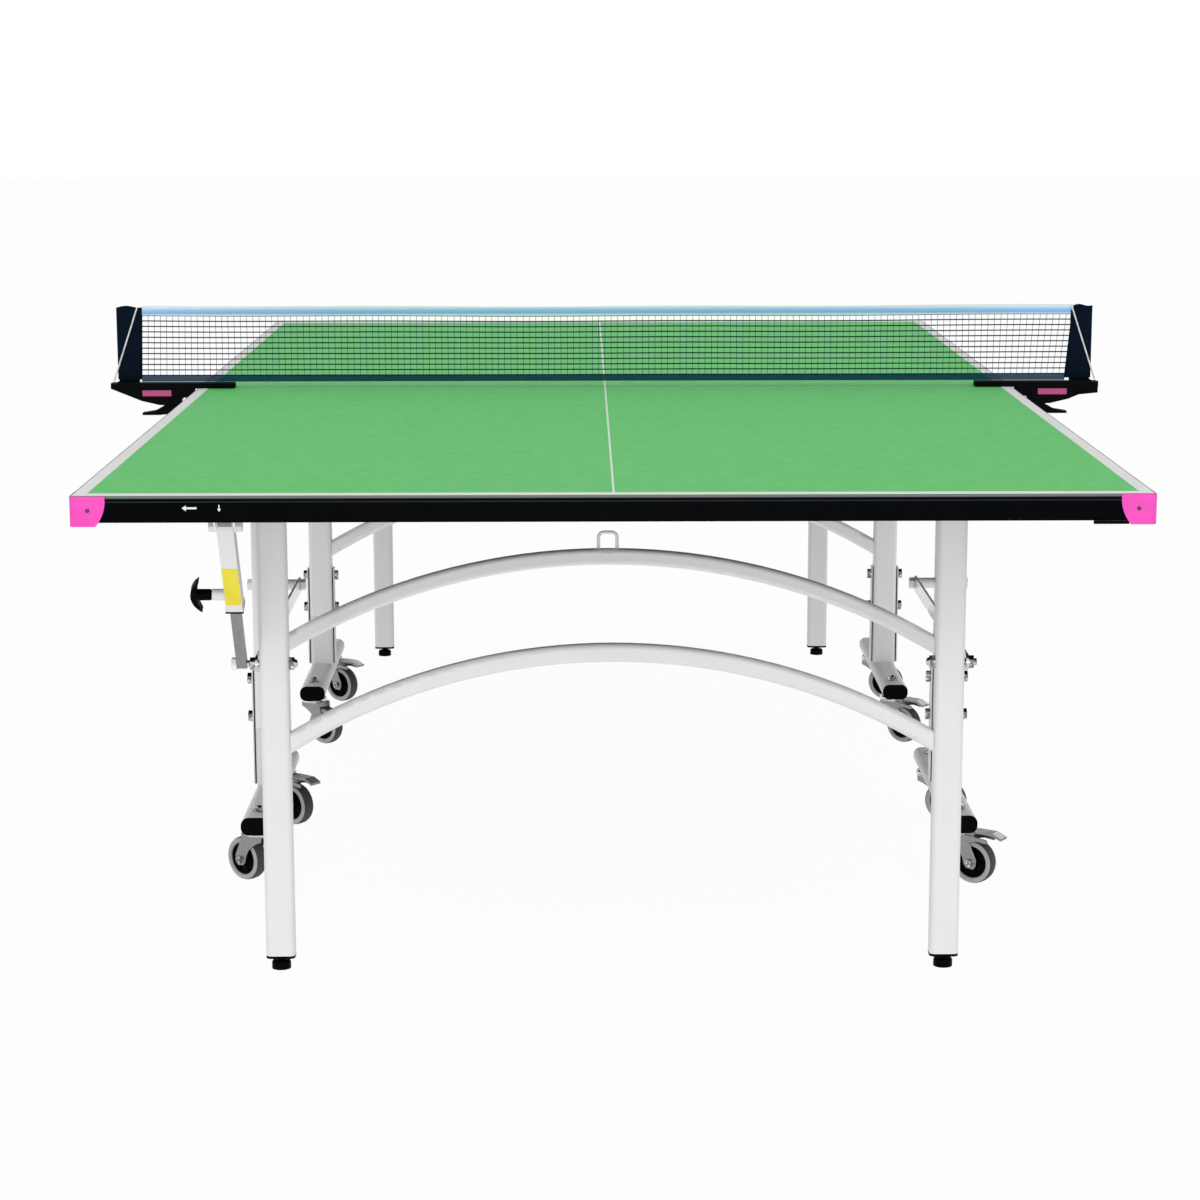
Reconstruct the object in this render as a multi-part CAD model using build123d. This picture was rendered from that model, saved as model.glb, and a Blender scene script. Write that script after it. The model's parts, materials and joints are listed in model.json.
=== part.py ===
"""A rollaway table tennis table with its net, in playing position.

Millimetres. +Z is up, Y runs along the table and X across it. The origin is on the
floor under the middle of the table. The front half lies towards -Y. The rear half is
the same half turned 180 degrees about Z. Only the front half carries the net.
"""
from build123d import *
import math
import os

# Playing surface and its steel frame
TABLE_LENGTH = 2740.0
TABLE_WIDTH = 1525.0
PLAYING_HEIGHT = 760.0
BOARD_THICKNESS = 6.0
APRON_HEIGHT = 33.0
APRON_DEPTH = 20.0
APRON_WALL = 1.5
APRON_RADIUS = 2.5
HALF_GAP = 6.4
CROSS_RAIL_WIDTH = 30.0
STRUT_RAIL_WIDTH = 38.0
GUARD_LENGTH = 48.0
GUARD_FOOT_LENGTH = 34.0
GUARD_THICKNESS = 2.5
GUARD_RADIUS = 7.0
GUARD_BELLY = 4.8
GUARD_TOP_DROP = 1.0
GUARD_FOOT_DROP = 5.0

# Wheeled trolley of each half
POST_Y = 505.0
POST_INSET = 173.5
POST_WIDTH = 48.0
POST_DEPTH = 30.0
TUBE_WALL = 2.0
TUBE_RADIUS = 8.0
SEAM_HEIGHT = 223.0
TEE_WIDTH = 50.0
TEE_HEIGHT = 30.0
TEE_RADIUS = 13.0
TEE_BOTTOM = 93.0
TEE_HALF_LENGTH = 238.0
SPLICE_TOP = 325.0
SPLICE_THICKNESS = 4.0
SPLICE_BOLT_HEIGHTS = (242.0, 309.0)
CAP_THICKNESS = 4.0
POST_ARCH_END = 366.0
POST_ARCH_APEX = 522.0
ARCH_DEPTH = 22.0
ARCH_HEIGHT = 28.0
ARCH_TRIM_ANGLE = 2.8
LOOP_WIDTH = 38.0
LOOP_HEIGHT = 31.0
LOOP_WIRE = 6.0

# Folding end legs
LEG_STEP = 84.0
LEG_INSET = 210.0
LEG_WIDTH = 44.0
LEG_DEPTH = 30.0
LEG_BOTTOM = 22.0
LEG_ARCH_END = 353.0
LEG_ARCH_APEX = 490.0
LINK_DROP = 231.0
LINK_WIDTH = 25.0
LINK_THICKNESS = 4.0
LINK_OFFSET = 2.0
FOOT_DIAMETER = 29.0
FOOT_HEIGHT = 13.0
FOOT_PLUG = 4.0

# Locking strut
STRUT_STEP = 35.5
STRUT_INSET = 59.0
SLEEVE_SIZE = 24.0
SLEEVE_WALL = 2.0
SLEEVE_LENGTH = 162.0
STRUT_BAR_SIZE = 15.0
STRUT_BAR_LENGTH = 260.0
COLLAR_LENGTH = 8.0
LOCK_FROM_END = 26.0
LOCK_BOSS_DIAMETER = 17.0
LOCK_BOSS_LENGTH = 19.0
LOCK_STEM_DIAMETER = 9.0
LOCK_STEM_LENGTH = 17.0
LOCK_GRIP_LENGTH = 60.0
LOCK_GRIP_DEPTH = 15.0
LOCK_GRIP_THICKNESS = 13.0

# Fasteners, brackets and running clearances
BOLT_RADIUS = 5.0
HOLE_CLEARANCE = 0.3
NUT_SIZE = 17.0
NUT_HEIGHT = 8.0
ACORN_RADIUS = 7.5
BRACKET_PLATE = 3.0
BRACKET_WIDTH = 40.0
BRACKET_EYE = 15.0
STRUT_BRACKET_EYE = 10.0
BRACKET_GAP = 0.5
RUNNING_GAP = 0.3
HEAD_GAP = 1.0
SPACER_RADIUS = 9.0

# Swivel casters
CASTER_Y = 195.0
WHEEL_DIAMETER = 75.0
WHEEL_WIDTH = 25.0
WHEEL_HUB_RADIUS = 27.0
WHEEL_RECESS = 4.0
WHEEL_BOSS_RADIUS = 9.0
WHEEL_FLARE = 2.0
TYRE_RADIUS = 7.0
TRAIL = 30.0
AXLE_RADIUS = 4.0
FORK_PLATE = 2.5
FORK_SIDE_GAP = 1.5
FORK_CROWN_RADIUS = 22.0
FORK_CROWN_HEIGHT = 8.0
FORK_BRIDGE = 3.0
FORK_BACK = 19.0
FORK_FRONT = 22.0
FORK_EYE_RADIUS = 10.0
FORK_WAIST = 4.0
STEM_HEAD_HEIGHT = 5.0
STEM_HEAD_RADIUS = 8.0
PEDAL_HINGE_X = 32.0
PEDAL_BARREL_RADIUS = 3.5
PEDAL_PIN_RADIUS = 1.8
PEDAL_BEND_X = 68.0
PEDAL_REACH = 84.0
PEDAL_WIDTH = 24.0
PEDAL_THICKNESS = 3.5
PEDAL_TOE_DROP = 7.0
# Direction in which each wheel trails its stem, in degrees from +X
TRAIL_ANGLE = {
    "front_left_outer": 140.0,
    "front_left_inner": -40.0,
    "front_right_outer": -35.0,
    "front_right_inner": -20.0,
    "rear_left_outer": -37.0,
    "rear_left_inner": -37.0,
    "rear_right_outer": -25.0,
    "rear_right_inner": -45.0,
}
BRAKED = ("front_right_outer", "front_left_inner", "rear_left_outer", "rear_right_inner")

# Net and its clamps
NET_HEIGHT = 152.5
NET_OVERHANG = 109.5
NET_THICKNESS = 1.6
NET_STRAND = 2.6
NET_COLUMNS = 48
NET_ROWS = 6
NET_TAPE_HEIGHT = 18.0
NET_TAPE_THICKNESS = 4.0
NET_BAND_HEIGHT = 12.0
NET_LIFT = 10.0
SLEEVE_POCKET_LENGTH = 43.0
SLEEVE_POCKET_DEPTH = 8.0
SLEEVE_POCKET_GAP = 2.0
NET_POST_WIDTH = 38.0
NET_POST_THICKNESS = 4.0
NET_POST_TOP_DROP = 10.0
NET_CORD_DIAMETER = 3.0
CLAMP_REACH = 68.5
CLAMP_END = 10.0
CLAMP_WIDTH = 26.0
CLAMP_PLATE = 2.5
CLAMP_BAR_HEIGHT = 10.0
CLAMP_CHEEK_DROP = 33.0
CLAMP_NOSE_DROP = 23.0
CLAMP_HEEL_RISE = 2.3
CLAMP_EDGE_GAP = 8.0
CLAMP_NET_GAP = 4.0
LEVER_PIVOT_OUT = 23.5
LEVER_PIVOT_DROP = 22.0
LEVER_JAW_REACH = 28.0
LEVER_JAW_HEIGHT = 10.0
LEVER_TIP_OUT = 105.5
LEVER_TIP_DROP = 50.0
LEVER_SIDE_GAP = 1.0

# Places that follow from the sizes above
HALF_WIDTH = TABLE_WIDTH / 2
HALF_LENGTH = TABLE_LENGTH / 2
NET_EDGE = HALF_GAP / 2
BOARD_BOTTOM = PLAYING_HEIGHT - BOARD_THICKNESS
APRON_BOTTOM = BOARD_BOTTOM - APRON_HEIGHT
TEE_TOP = TEE_BOTTOM + TEE_HEIGHT
PIVOT_HEIGHT = APRON_BOTTOM - HEAD_GAP - max(POST_DEPTH, LEG_DEPTH) / 2
POST_X = HALF_WIDTH - POST_INSET
LEG_X = POST_X - LEG_STEP
LEG_Y = HALF_LENGTH - LEG_INSET
STRUT_X = POST_X - STRUT_STEP
STRUT_TOP_Y = HALF_LENGTH - STRUT_INSET
STRUT_TOP_Z = APRON_BOTTOM - HEAD_GAP - SLEEVE_SIZE / 2
POST_INNER = POST_X - POST_WIDTH / 2
POST_OUTER = POST_X + POST_WIDTH / 2
LEG_INNER = LEG_X - LEG_WIDTH / 2
LEG_OUTER = LEG_X + LEG_WIDTH / 2
LINK_INNER = LEG_OUTER + LINK_OFFSET
LINK_OUTER = LINK_INNER + LINK_THICKNESS
LINK_HEIGHT = PIVOT_HEIGHT - LINK_DROP
STRUT_LENGTH = math.hypot(STRUT_TOP_Y - LEG_Y, STRUT_TOP_Z - LINK_HEIGHT)
STRUT_TILT = math.degrees(math.atan2(STRUT_TOP_Y - LEG_Y, STRUT_TOP_Z - LINK_HEIGHT))
WHEEL_RADIUS = WHEEL_DIAMETER / 2
NET_HALF_LENGTH = HALF_WIDTH + NET_OVERHANG
CLAMP_INNER_X = HALF_WIDTH - CLAMP_REACH
CLAMP_OUTER_X = NET_HALF_LENGTH + SLEEVE_POCKET_LENGTH + CLAMP_END
LEVER_PIVOT_X = HALF_WIDTH + LEVER_PIVOT_OUT
LEVER_PIVOT_Z = PLAYING_HEIGHT - LEVER_PIVOT_DROP
LEVER_TIP_X = HALF_WIDTH + LEVER_TIP_OUT
LEVER_TIP_Z = PLAYING_HEIGHT - LEVER_TIP_DROP
HOLE_RADIUS = BOLT_RADIUS + HOLE_CLEARANCE
SIDES = (-1, 1)


def block(x, y, z):
    """A box between the two values given for each axis."""
    spans = (x, y, z)
    size = [abs(b - a) for a, b in spans]
    middle = [(a + b) / 2 for a, b in spans]
    return Pos(*middle) * Box(*size)


def rod_x(x0, x1, y, z, radius):
    """A round bar along X."""
    return Pos((x0 + x1) / 2, y, z) * Rot(0, 90, 0) * Cylinder(radius, abs(x1 - x0))


def rod_y(x, y0, y1, z, radius):
    """A round bar along Y."""
    return Pos(x, (y0 + y1) / 2, z) * Rot(90, 0, 0) * Cylinder(radius, abs(y1 - y0))


def rod_z(x, y, z0, z1, radius):
    """A round bar along Z."""
    return Pos(x, y, (z0 + z1) / 2) * Cylinder(radius, abs(z1 - z0))


def nut_x(x0, x1, y, z):
    """A hexagon nut whose axis is along X, between two X values."""
    shape = extrude(RegularPolygon(NUT_SIZE / 2, 6, major_radius=False), abs(x1 - x0))
    return Pos(min(x0, x1), y, z) * Rot(0, 90, 0) * shape


def box_tube(width, height, wall, radius=0.0):
    """The hollow section of a rectangular tube, in the local XY plane."""
    if radius > 0:
        inner_radius = max(radius - wall, radius / 4)
        inner = RectangleRounded(width - 2 * wall, height - 2 * wall, inner_radius)
        return RectangleRounded(width, height, radius) - inner
    return Rectangle(width, height) - Rectangle(width - 2 * wall, height - 2 * wall)


def upright(x, y, width, depth, bottom, top):
    """A rounded tube along Z."""
    section = box_tube(width, depth, TUBE_WALL, TUBE_RADIUS)
    return Pos(x, y, bottom) * extrude(section, top - bottom)


def rail_x(x0, x1, y0, y1, radius=0.0):
    """A frame tube along X, as high as the apron."""
    section = Plane.YZ * box_tube(abs(y1 - y0), APRON_HEIGHT, APRON_WALL, radius)
    middle = (APRON_BOTTOM + BOARD_BOTTOM) / 2
    return Pos(min(x0, x1), (y0 + y1) / 2, middle) * extrude(section, abs(x1 - x0))


def rail_y(x0, x1, y0, y1, radius=0.0):
    """A frame tube along Y, as high as the apron."""
    section = Plane.XZ * box_tube(abs(x1 - x0), APRON_HEIGHT, APRON_WALL, radius)
    middle = (APRON_BOTTOM + BOARD_BOTTOM) / 2
    return Pos((x0 + x1) / 2, max(y0, y1), middle) * extrude(section, abs(y1 - y0))


def round_headed(tube, y, z, depth, reach):
    """Rounds the upper end of a tube about a pivot along X."""
    keep = block((-reach, reach), (y - depth, y + depth), (0, z))
    keep += rod_x(-reach, reach, y, z, depth / 2)
    return tube & keep


def arch(half_span, end_height, apex_height, y):
    """A bowed tube between two upright faces, cut flat on both."""
    rise = apex_height - end_height
    radius = (half_span ** 2 + rise ** 2) / (2 * rise)
    centre = apex_height - radius
    half_angle = math.degrees(math.asin(half_span / radius)) + ARCH_TRIM_ANGLE
    section = box_tube(ARCH_DEPTH, ARCH_HEIGHT, TUBE_WALL, TUBE_RADIUS)
    start = Pos(0, y, apex_height) * (Plane.YZ * section)
    axis = Axis((0, y, centre), (0, 1, 0))
    bow = revolve(start, axis, 2 * half_angle).rotate(axis, -half_angle)
    deep = ARCH_DEPTH
    top = apex_height + ARCH_HEIGHT
    return bow & block((-half_span, half_span), (y - deep, y + deep), (0, top))


def pivot_plates(x0, x1, y, z, eye=BRACKET_EYE):
    """Two tapered bracket plates under a rail, either side of what turns between them."""
    with BuildSketch(Plane.YZ) as outline:
        with Locations((y, APRON_BOTTOM - BRACKET_PLATE / 2)):
            Rectangle(BRACKET_WIDTH, BRACKET_PLATE)
        with Locations((y, z)):
            Circle(eye)
        make_hull()
        with Locations((y, z)):
            Circle(HOLE_RADIUS, mode=Mode.SUBTRACT)
    plate = extrude(outline.sketch, BRACKET_PLATE)
    return [Pos(x, 0, 0) * plate for x in (x0 - BRACKET_GAP - BRACKET_PLATE, x1 + BRACKET_GAP)]


def pivot_bolt(x0, x1, y, z):
    """A bolt through a tube between x0 and x1 and its two bracket plates."""
    reach = BRACKET_GAP + BRACKET_PLATE + RUNNING_GAP
    low = x0 - reach
    high = x1 + reach
    bolt = rod_x(low, high, y, z, BOLT_RADIUS)
    bolt += nut_x(low - NUT_HEIGHT, low, y, z)
    bolt += nut_x(high, high + NUT_HEIGHT, y, z)
    return bolt


def mirrored(x0, x1, side):
    """The span x0 to x1 on the right, or its mirror image on the left."""
    return (x0, x1) if side > 0 else (-x1, -x0)


def playing_surface():
    x = (-HALF_WIDTH, HALF_WIDTH)
    return [block(x, (-HALF_LENGTH, -NET_EDGE), (BOARD_BOTTOM, PLAYING_HEIGHT))]


def apron_frame():
    """The welded steel frame under the board, with its hinge brackets."""
    inner = HALF_WIDTH - APRON_DEPTH
    end = -HALF_LENGTH + APRON_DEPTH
    net_side = -NET_EDGE - APRON_DEPTH
    half_cross = CROSS_RAIL_WIDTH / 2
    solids = []
    for side in SIDES:
        x = mirrored(inner, HALF_WIDTH, side)
        solids.append(rail_y(*x, -HALF_LENGTH, -NET_EDGE, APRON_RADIUS))
    solids.append(rail_x(-inner, inner, -HALF_LENGTH, end, APRON_RADIUS))
    solids.append(rail_x(-inner, inner, net_side, -NET_EDGE, APRON_RADIUS))
    for y in (-POST_Y, -LEG_Y):
        solids.append(rail_x(-inner, inner, y - half_cross, y + half_cross))
    stations = (end, -LEG_Y - half_cross, -LEG_Y + half_cross, -POST_Y - half_cross,
                -POST_Y + half_cross, net_side)
    for y0, y1 in zip(stations[0::2], stations[1::2]):
        solids.append(rail_y(-half_cross, half_cross, y0, y1))
    for side in SIDES:
        centre = side * STRUT_X
        half = STRUT_RAIL_WIDTH / 2
        solids.append(rail_y(centre - half, centre + half, stations[0], stations[1]))
        solids += pivot_plates(*mirrored(POST_INNER, POST_OUTER, side), -POST_Y, PIVOT_HEIGHT)
        solids += pivot_plates(*mirrored(LEG_INNER, LEG_OUTER, side), -LEG_Y, PIVOT_HEIGHT)
    half = SLEEVE_SIZE / 2
    x = (-STRUT_X - half, -STRUT_X + half)
    solids += pivot_plates(*x, -STRUT_TOP_Y, STRUT_TOP_Z, STRUT_BRACKET_EYE)
    return solids


def bowed_edge(plane, length, foot, tall, back):
    """A slab outline with one bowed edge, longer at its top than at its foot."""
    belly = ((length + foot) / 2 + GUARD_BELLY, tall / 2)
    with BuildSketch(plane) as outline:
        with BuildLine():
            Line((-back, 0), (foot, 0))
            ThreePointArc((foot, 0), belly, (length, tall))
            Line((length, tall), (-back, tall))
            Line((-back, tall), (-back, 0))
        make_face()
    return extrude(outline.sketch, 2 * length, both=True)


def corner_guards():
    """Moulded covers over the two outer corners of the apron."""
    bottom = APRON_BOTTOM - GUARD_FOOT_DROP
    tall = PLAYING_HEIGHT - GUARD_TOP_DROP - bottom
    wall = GUARD_THICKNESS
    outer = block((-wall, GUARD_LENGTH), (-wall, GUARD_LENGTH), (0, tall))
    corner = outer.edges().filter_by(Axis.Z).sort_by(lambda edge: edge.center().X + edge.center().Y)[0]
    shell = fillet(corner, GUARD_RADIUS)
    shell -= block((0, 2 * GUARD_LENGTH), (0, 2 * GUARD_LENGTH), (0, tall))
    for plane in (Plane.XZ, Plane.YZ):
        shell &= bowed_edge(plane, GUARD_LENGTH, GUARD_FOOT_LENGTH, tall, 2 * wall)
    left = Pos(-HALF_WIDTH, -HALF_LENGTH, bottom) * shell
    right = Pos(HALF_WIDTH, -HALF_LENGTH, bottom) * shell.rotate(Axis.Z, 90)
    return [left, right]


def leg_tubes():
    """The two end legs, with round heads and bolt holes."""
    solids = []
    top = PIVOT_HEIGHT + LEG_DEPTH / 2
    for side in SIDES:
        leg = upright(side * LEG_X, -LEG_Y, LEG_WIDTH, LEG_DEPTH, LEG_BOTTOM, top)
        leg = round_headed(leg, -LEG_Y, PIVOT_HEIGHT, LEG_DEPTH, HALF_WIDTH)
        for z in (PIVOT_HEIGHT, LINK_HEIGHT):
            leg -= rod_x(-HALF_WIDTH, HALF_WIDTH, -LEG_Y, z, HOLE_RADIUS)
        solids.append(leg)
    return solids


def leg_arch():
    return [arch(LEG_INNER, LEG_ARCH_END, LEG_ARCH_APEX, -LEG_Y)]


def leg_feet():
    """A tube plug, a screw and a levelling pad under each leg."""
    solids = []
    for side in SIDES:
        place = Pos(side * LEG_X, -LEG_Y, 0)
        plug = Pos(0, 0, LEG_BOTTOM - FOOT_PLUG) * extrude(
            RectangleRounded(LEG_WIDTH, LEG_DEPTH, TUBE_RADIUS), FOOT_PLUG)
        pad = rod_z(0, 0, 0, FOOT_HEIGHT, FOOT_DIAMETER / 2)
        rim = pad.edges().group_by(Axis.Z)[-1]
        pad = fillet(rim, FOOT_HEIGHT / 3)
        screw = rod_z(0, 0, FOOT_HEIGHT / 2, LEG_BOTTOM - FOOT_PLUG / 2, BOLT_RADIUS)
        solids.append(place * (plug + pad + screw))
    return solids


def leg_bolts():
    """The hinge bolts of the legs, and the bolts that carry their links."""
    solids = []
    strut_face = STRUT_X - STRUT_BAR_SIZE / 2 - RUNNING_GAP
    for side in SIDES:
        solids.append(pivot_bolt(*mirrored(LEG_INNER, LEG_OUTER, side), -LEG_Y, PIVOT_HEIGHT))
        nut_face = LINK_OUTER + RUNNING_GAP
        bolt = rod_x(side * LEG_INNER, side * strut_face, -LEG_Y, LINK_HEIGHT, BOLT_RADIUS)
        bolt += nut_x(*mirrored(LEG_INNER - NUT_HEIGHT, LEG_INNER, side), -LEG_Y, LINK_HEIGHT)
        bolt += nut_x(*mirrored(nut_face, nut_face + NUT_HEIGHT, side), -LEG_Y, LINK_HEIGHT)
        solids.append(bolt)
    return solids


def leg_links():
    """Flat bars from the trolley posts that fold the legs as the top turns."""
    solids = []
    for side in SIDES:
        x = mirrored(LINK_INNER, LINK_OUTER, side)
        half = LINK_WIDTH / 2
        link = block(x, (-LEG_Y, -POST_Y), (LINK_HEIGHT - half, LINK_HEIGHT + half))
        for y in (-LEG_Y, -POST_Y):
            link += rod_x(*x, y, LINK_HEIGHT, half)
        for y in (-LEG_Y, -POST_Y):
            link -= rod_x(-HALF_WIDTH, HALF_WIDTH, y, LINK_HEIGHT, HOLE_RADIUS)
        solids.append(link)
    return solids


def on_strut(shape):
    """Places a shape drawn along -Z from the strut's upper pivot."""
    return Pos(-STRUT_X, -STRUT_TOP_Y, STRUT_TOP_Z) * Rot(STRUT_TILT, 0, 0) * shape


def strut_sleeve():
    """The square sleeve of the locking strut, with its hinge pin and lock boss."""
    half = SLEEVE_SIZE / 2
    lock_z = LOCK_FROM_END - SLEEVE_LENGTH
    sleeve = Pos(0, 0, -SLEEVE_LENGTH) * extrude(
        box_tube(SLEEVE_SIZE, SLEEVE_SIZE, SLEEVE_WALL), SLEEVE_LENGTH + half)
    keep = block((-half, half), (-half, half), (-SLEEVE_LENGTH, 0))
    sleeve &= keep + rod_x(-half, half, 0, 0, half)
    reach = half + BRACKET_GAP + BRACKET_PLATE + RUNNING_GAP
    sleeve += rod_x(-reach, reach, 0, 0, BOLT_RADIUS)
    for side in SIDES:
        sleeve += nut_x(*mirrored(reach, reach + NUT_HEIGHT, side), 0, 0)
    bush = STRUT_BAR_SIZE + 2 * RUNNING_GAP
    collar = Rectangle(SLEEVE_SIZE + SLEEVE_WALL, SLEEVE_SIZE + SLEEVE_WALL) - Rectangle(bush, bush)
    sleeve += Pos(0, 0, -SLEEVE_LENGTH) * extrude(collar, COLLAR_LENGTH)
    boss_end = -half - LOCK_BOSS_LENGTH
    sleeve += rod_x(boss_end, SLEEVE_WALL - half, 0, lock_z, LOCK_BOSS_DIAMETER / 2)
    sleeve -= rod_x(boss_end, -bush / 2, 0, lock_z, LOCK_STEM_DIAMETER / 2 + HOLE_CLEARANCE)
    return [on_strut(sleeve)]


def strut_bar():
    """The sliding bar of the strut, with an eye and a nut at the leg's bolt."""
    half = STRUT_BAR_SIZE / 2
    top = STRUT_BAR_LENGTH - STRUT_LENGTH
    bar = block((-half, half), (-half, half), (-STRUT_LENGTH, top))
    bar += rod_x(-half, half, 0, -STRUT_LENGTH, half)
    bar += nut_x(-half - NUT_HEIGHT, -half, 0, -STRUT_LENGTH)
    return [on_strut(bar)]


def lock_knob():
    """The pull handle of the strut's lock, with its pin against the bar."""
    lock_z = LOCK_FROM_END - SLEEVE_LENGTH
    bar_face = STRUT_BAR_SIZE / 2 + RUNNING_GAP
    boss_end = SLEEVE_SIZE / 2 + LOCK_BOSS_LENGTH
    grip_x = boss_end + LOCK_STEM_LENGTH
    half = LOCK_GRIP_LENGTH / 2
    bow = LOCK_GRIP_DEPTH / 3
    with BuildSketch(Plane.XZ) as crescent:
        with BuildLine():
            ThreePointArc((-grip_x, half), (-grip_x - LOCK_GRIP_DEPTH, 0), (-grip_x, -half))
            ThreePointArc((-grip_x, -half), (-grip_x - bow, 0), (-grip_x, half))
        make_face()
    grip = extrude(crescent.sketch, LOCK_GRIP_THICKNESS / 2, both=True)
    stem = rod_x(-bar_face, -grip_x - 2 * bow, 0, 0, LOCK_STEM_DIAMETER / 2)
    return [on_strut(Pos(0, 0, lock_z) * (grip + stem))]


def post_tubes():
    """The two trolley posts, with round heads and bolt holes."""
    solids = []
    top = PIVOT_HEIGHT + POST_DEPTH / 2
    for side in SIDES:
        post = upright(side * POST_X, -POST_Y, POST_WIDTH, POST_DEPTH, SEAM_HEIGHT, top)
        post = round_headed(post, -POST_Y, PIVOT_HEIGHT, POST_DEPTH, HALF_WIDTH)
        for z in (PIVOT_HEIGHT, LINK_HEIGHT, *SPLICE_BOLT_HEIGHTS):
            post -= rod_x(-HALF_WIDTH, HALF_WIDTH, -POST_Y, z, HOLE_RADIUS)
        solids.append(post)
    return solids


def post_arch():
    """The bowed tube between the posts, with a catch loop on its crown."""
    bow = arch(POST_INNER, POST_ARCH_END, POST_ARCH_APEX, -POST_Y)
    half = (LOOP_WIDTH - LOOP_WIRE) / 2
    seat = POST_ARCH_APEX + ARCH_HEIGHT / 2 - TUBE_WALL / 2
    crown = POST_ARCH_APEX + (ARCH_HEIGHT - LOOP_WIRE) / 2 + LOOP_HEIGHT
    corners = [(-half, -POST_Y, seat), (-half, -POST_Y, crown),
               (half, -POST_Y, crown), (half, -POST_Y, seat)]
    path = FilletPolyline(*corners, radius=LOOP_WIDTH / 4)
    loop = sweep(Plane(path @ 0, z_dir=path % 0) * Circle(LOOP_WIRE / 2), path=path)
    return [bow + loop]


def acorn_nut():
    """A domed nut standing on the XY plane."""
    nut = extrude(RegularPolygon(NUT_SIZE / 2, 6, major_radius=False), NUT_HEIGHT)
    reach = (-NUT_SIZE, NUT_SIZE)
    dome = Sphere(ACORN_RADIUS) & block(reach, reach, (0, NUT_SIZE))
    return nut + Pos(0, 0, NUT_HEIGHT / 2) * dome


def caster_tees():
    """Inverted T feet: a floor tube, a stub and two splice plates on each side."""
    solids = []
    plate_half = POST_DEPTH / 2 - SPLICE_THICKNESS
    for side in SIDES:
        x = side * POST_X
        section = Plane.XZ * box_tube(TEE_WIDTH, TEE_HEIGHT, TUBE_WALL, TEE_RADIUS)
        tube = extrude(section, 2 * TEE_HALF_LENGTH)
        tee = Pos(x, TEE_HALF_LENGTH - POST_Y, TEE_BOTTOM + TEE_HEIGHT / 2) * tube
        tee += upright(x, -POST_Y, POST_WIDTH, POST_DEPTH, TEE_TOP - TUBE_WALL, SEAM_HEIGHT)
        for a, b in ((POST_INNER - SPLICE_THICKNESS, POST_INNER),
                     (POST_OUTER, POST_OUTER + SPLICE_THICKNESS)):
            y = (-POST_Y - plate_half, -POST_Y + plate_half)
            tee += block(mirrored(a, b, side), y, (TEE_TOP, SPLICE_TOP))
        for z in SPLICE_BOLT_HEIGHTS:
            tee -= rod_x(-HALF_WIDTH, HALF_WIDTH, -POST_Y, z, HOLE_RADIUS)
        for step in SIDES:
            stem_y = -POST_Y + step * CASTER_Y
            tee -= rod_z(x, stem_y, 0, PLAYING_HEIGHT, HOLE_RADIUS)
        solids.append(tee)
    return solids


def tube_caps():
    """Plastic caps in the four open ends of the floor tubes."""
    solids = []
    section = Plane.XZ * RectangleRounded(TEE_WIDTH, TEE_HEIGHT, TEE_RADIUS)
    for side in SIDES:
        for end in SIDES:
            cap = extrude(section, -end * CAP_THICKNESS)
            y = -POST_Y + end * TEE_HALF_LENGTH
            cap = Pos(side * POST_X, y, TEE_BOTTOM + TEE_HEIGHT / 2) * cap
            face = cap.faces().sort_by(Axis.Y)[-1 if end > 0 else 0]
            solids.append(fillet(face.edges(), CAP_THICKNESS / 3))
    return solids


def frame_bolts():
    """The pivot, link, splice and caster bolts that stay with the trolley."""
    solids = []
    head_face = LINK_INNER - RUNNING_GAP
    shoulder = LINK_OUTER + RUNNING_GAP
    plate_in = POST_INNER - SPLICE_THICKNESS
    plate_out = POST_OUTER + SPLICE_THICKNESS
    bridge_bottom = TEE_BOTTOM - RUNNING_GAP - FORK_CROWN_HEIGHT - FORK_BRIDGE
    head_top = bridge_bottom - RUNNING_GAP
    for side in SIDES:
        y = -POST_Y
        solids.append(pivot_bolt(*mirrored(POST_INNER, POST_OUTER, side), y, PIVOT_HEIGHT))
        link_bolt = rod_x(side * head_face, side * POST_OUTER, y, LINK_HEIGHT, BOLT_RADIUS)
        link_bolt += nut_x(*mirrored(head_face - NUT_HEIGHT, head_face, side), y, LINK_HEIGHT)
        link_bolt += rod_x(side * shoulder, side * POST_INNER, y, LINK_HEIGHT, SPACER_RADIUS)
        link_bolt += nut_x(*mirrored(POST_OUTER, POST_OUTER + NUT_HEIGHT, side), y, LINK_HEIGHT)
        solids.append(link_bolt)
        for z in SPLICE_BOLT_HEIGHTS:
            bolt = rod_x(side * plate_in, side * plate_out, y, z, BOLT_RADIUS)
            bolt += nut_x(*mirrored(plate_in - NUT_HEIGHT, plate_in, side), y, z)
            bolt += nut_x(*mirrored(plate_out, plate_out + NUT_HEIGHT, side), y, z)
            solids.append(bolt)
        for step in SIDES:
            x = side * POST_X
            stem_y = y + step * CASTER_Y
            stem = rod_z(x, stem_y, head_top - STEM_HEAD_HEIGHT, TEE_TOP, BOLT_RADIUS)
            stem += rod_z(x, stem_y, head_top - STEM_HEAD_HEIGHT, head_top, STEM_HEAD_RADIUS)
            solids.append(stem + Pos(x, stem_y, TEE_TOP) * acorn_nut())
    return solids


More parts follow.
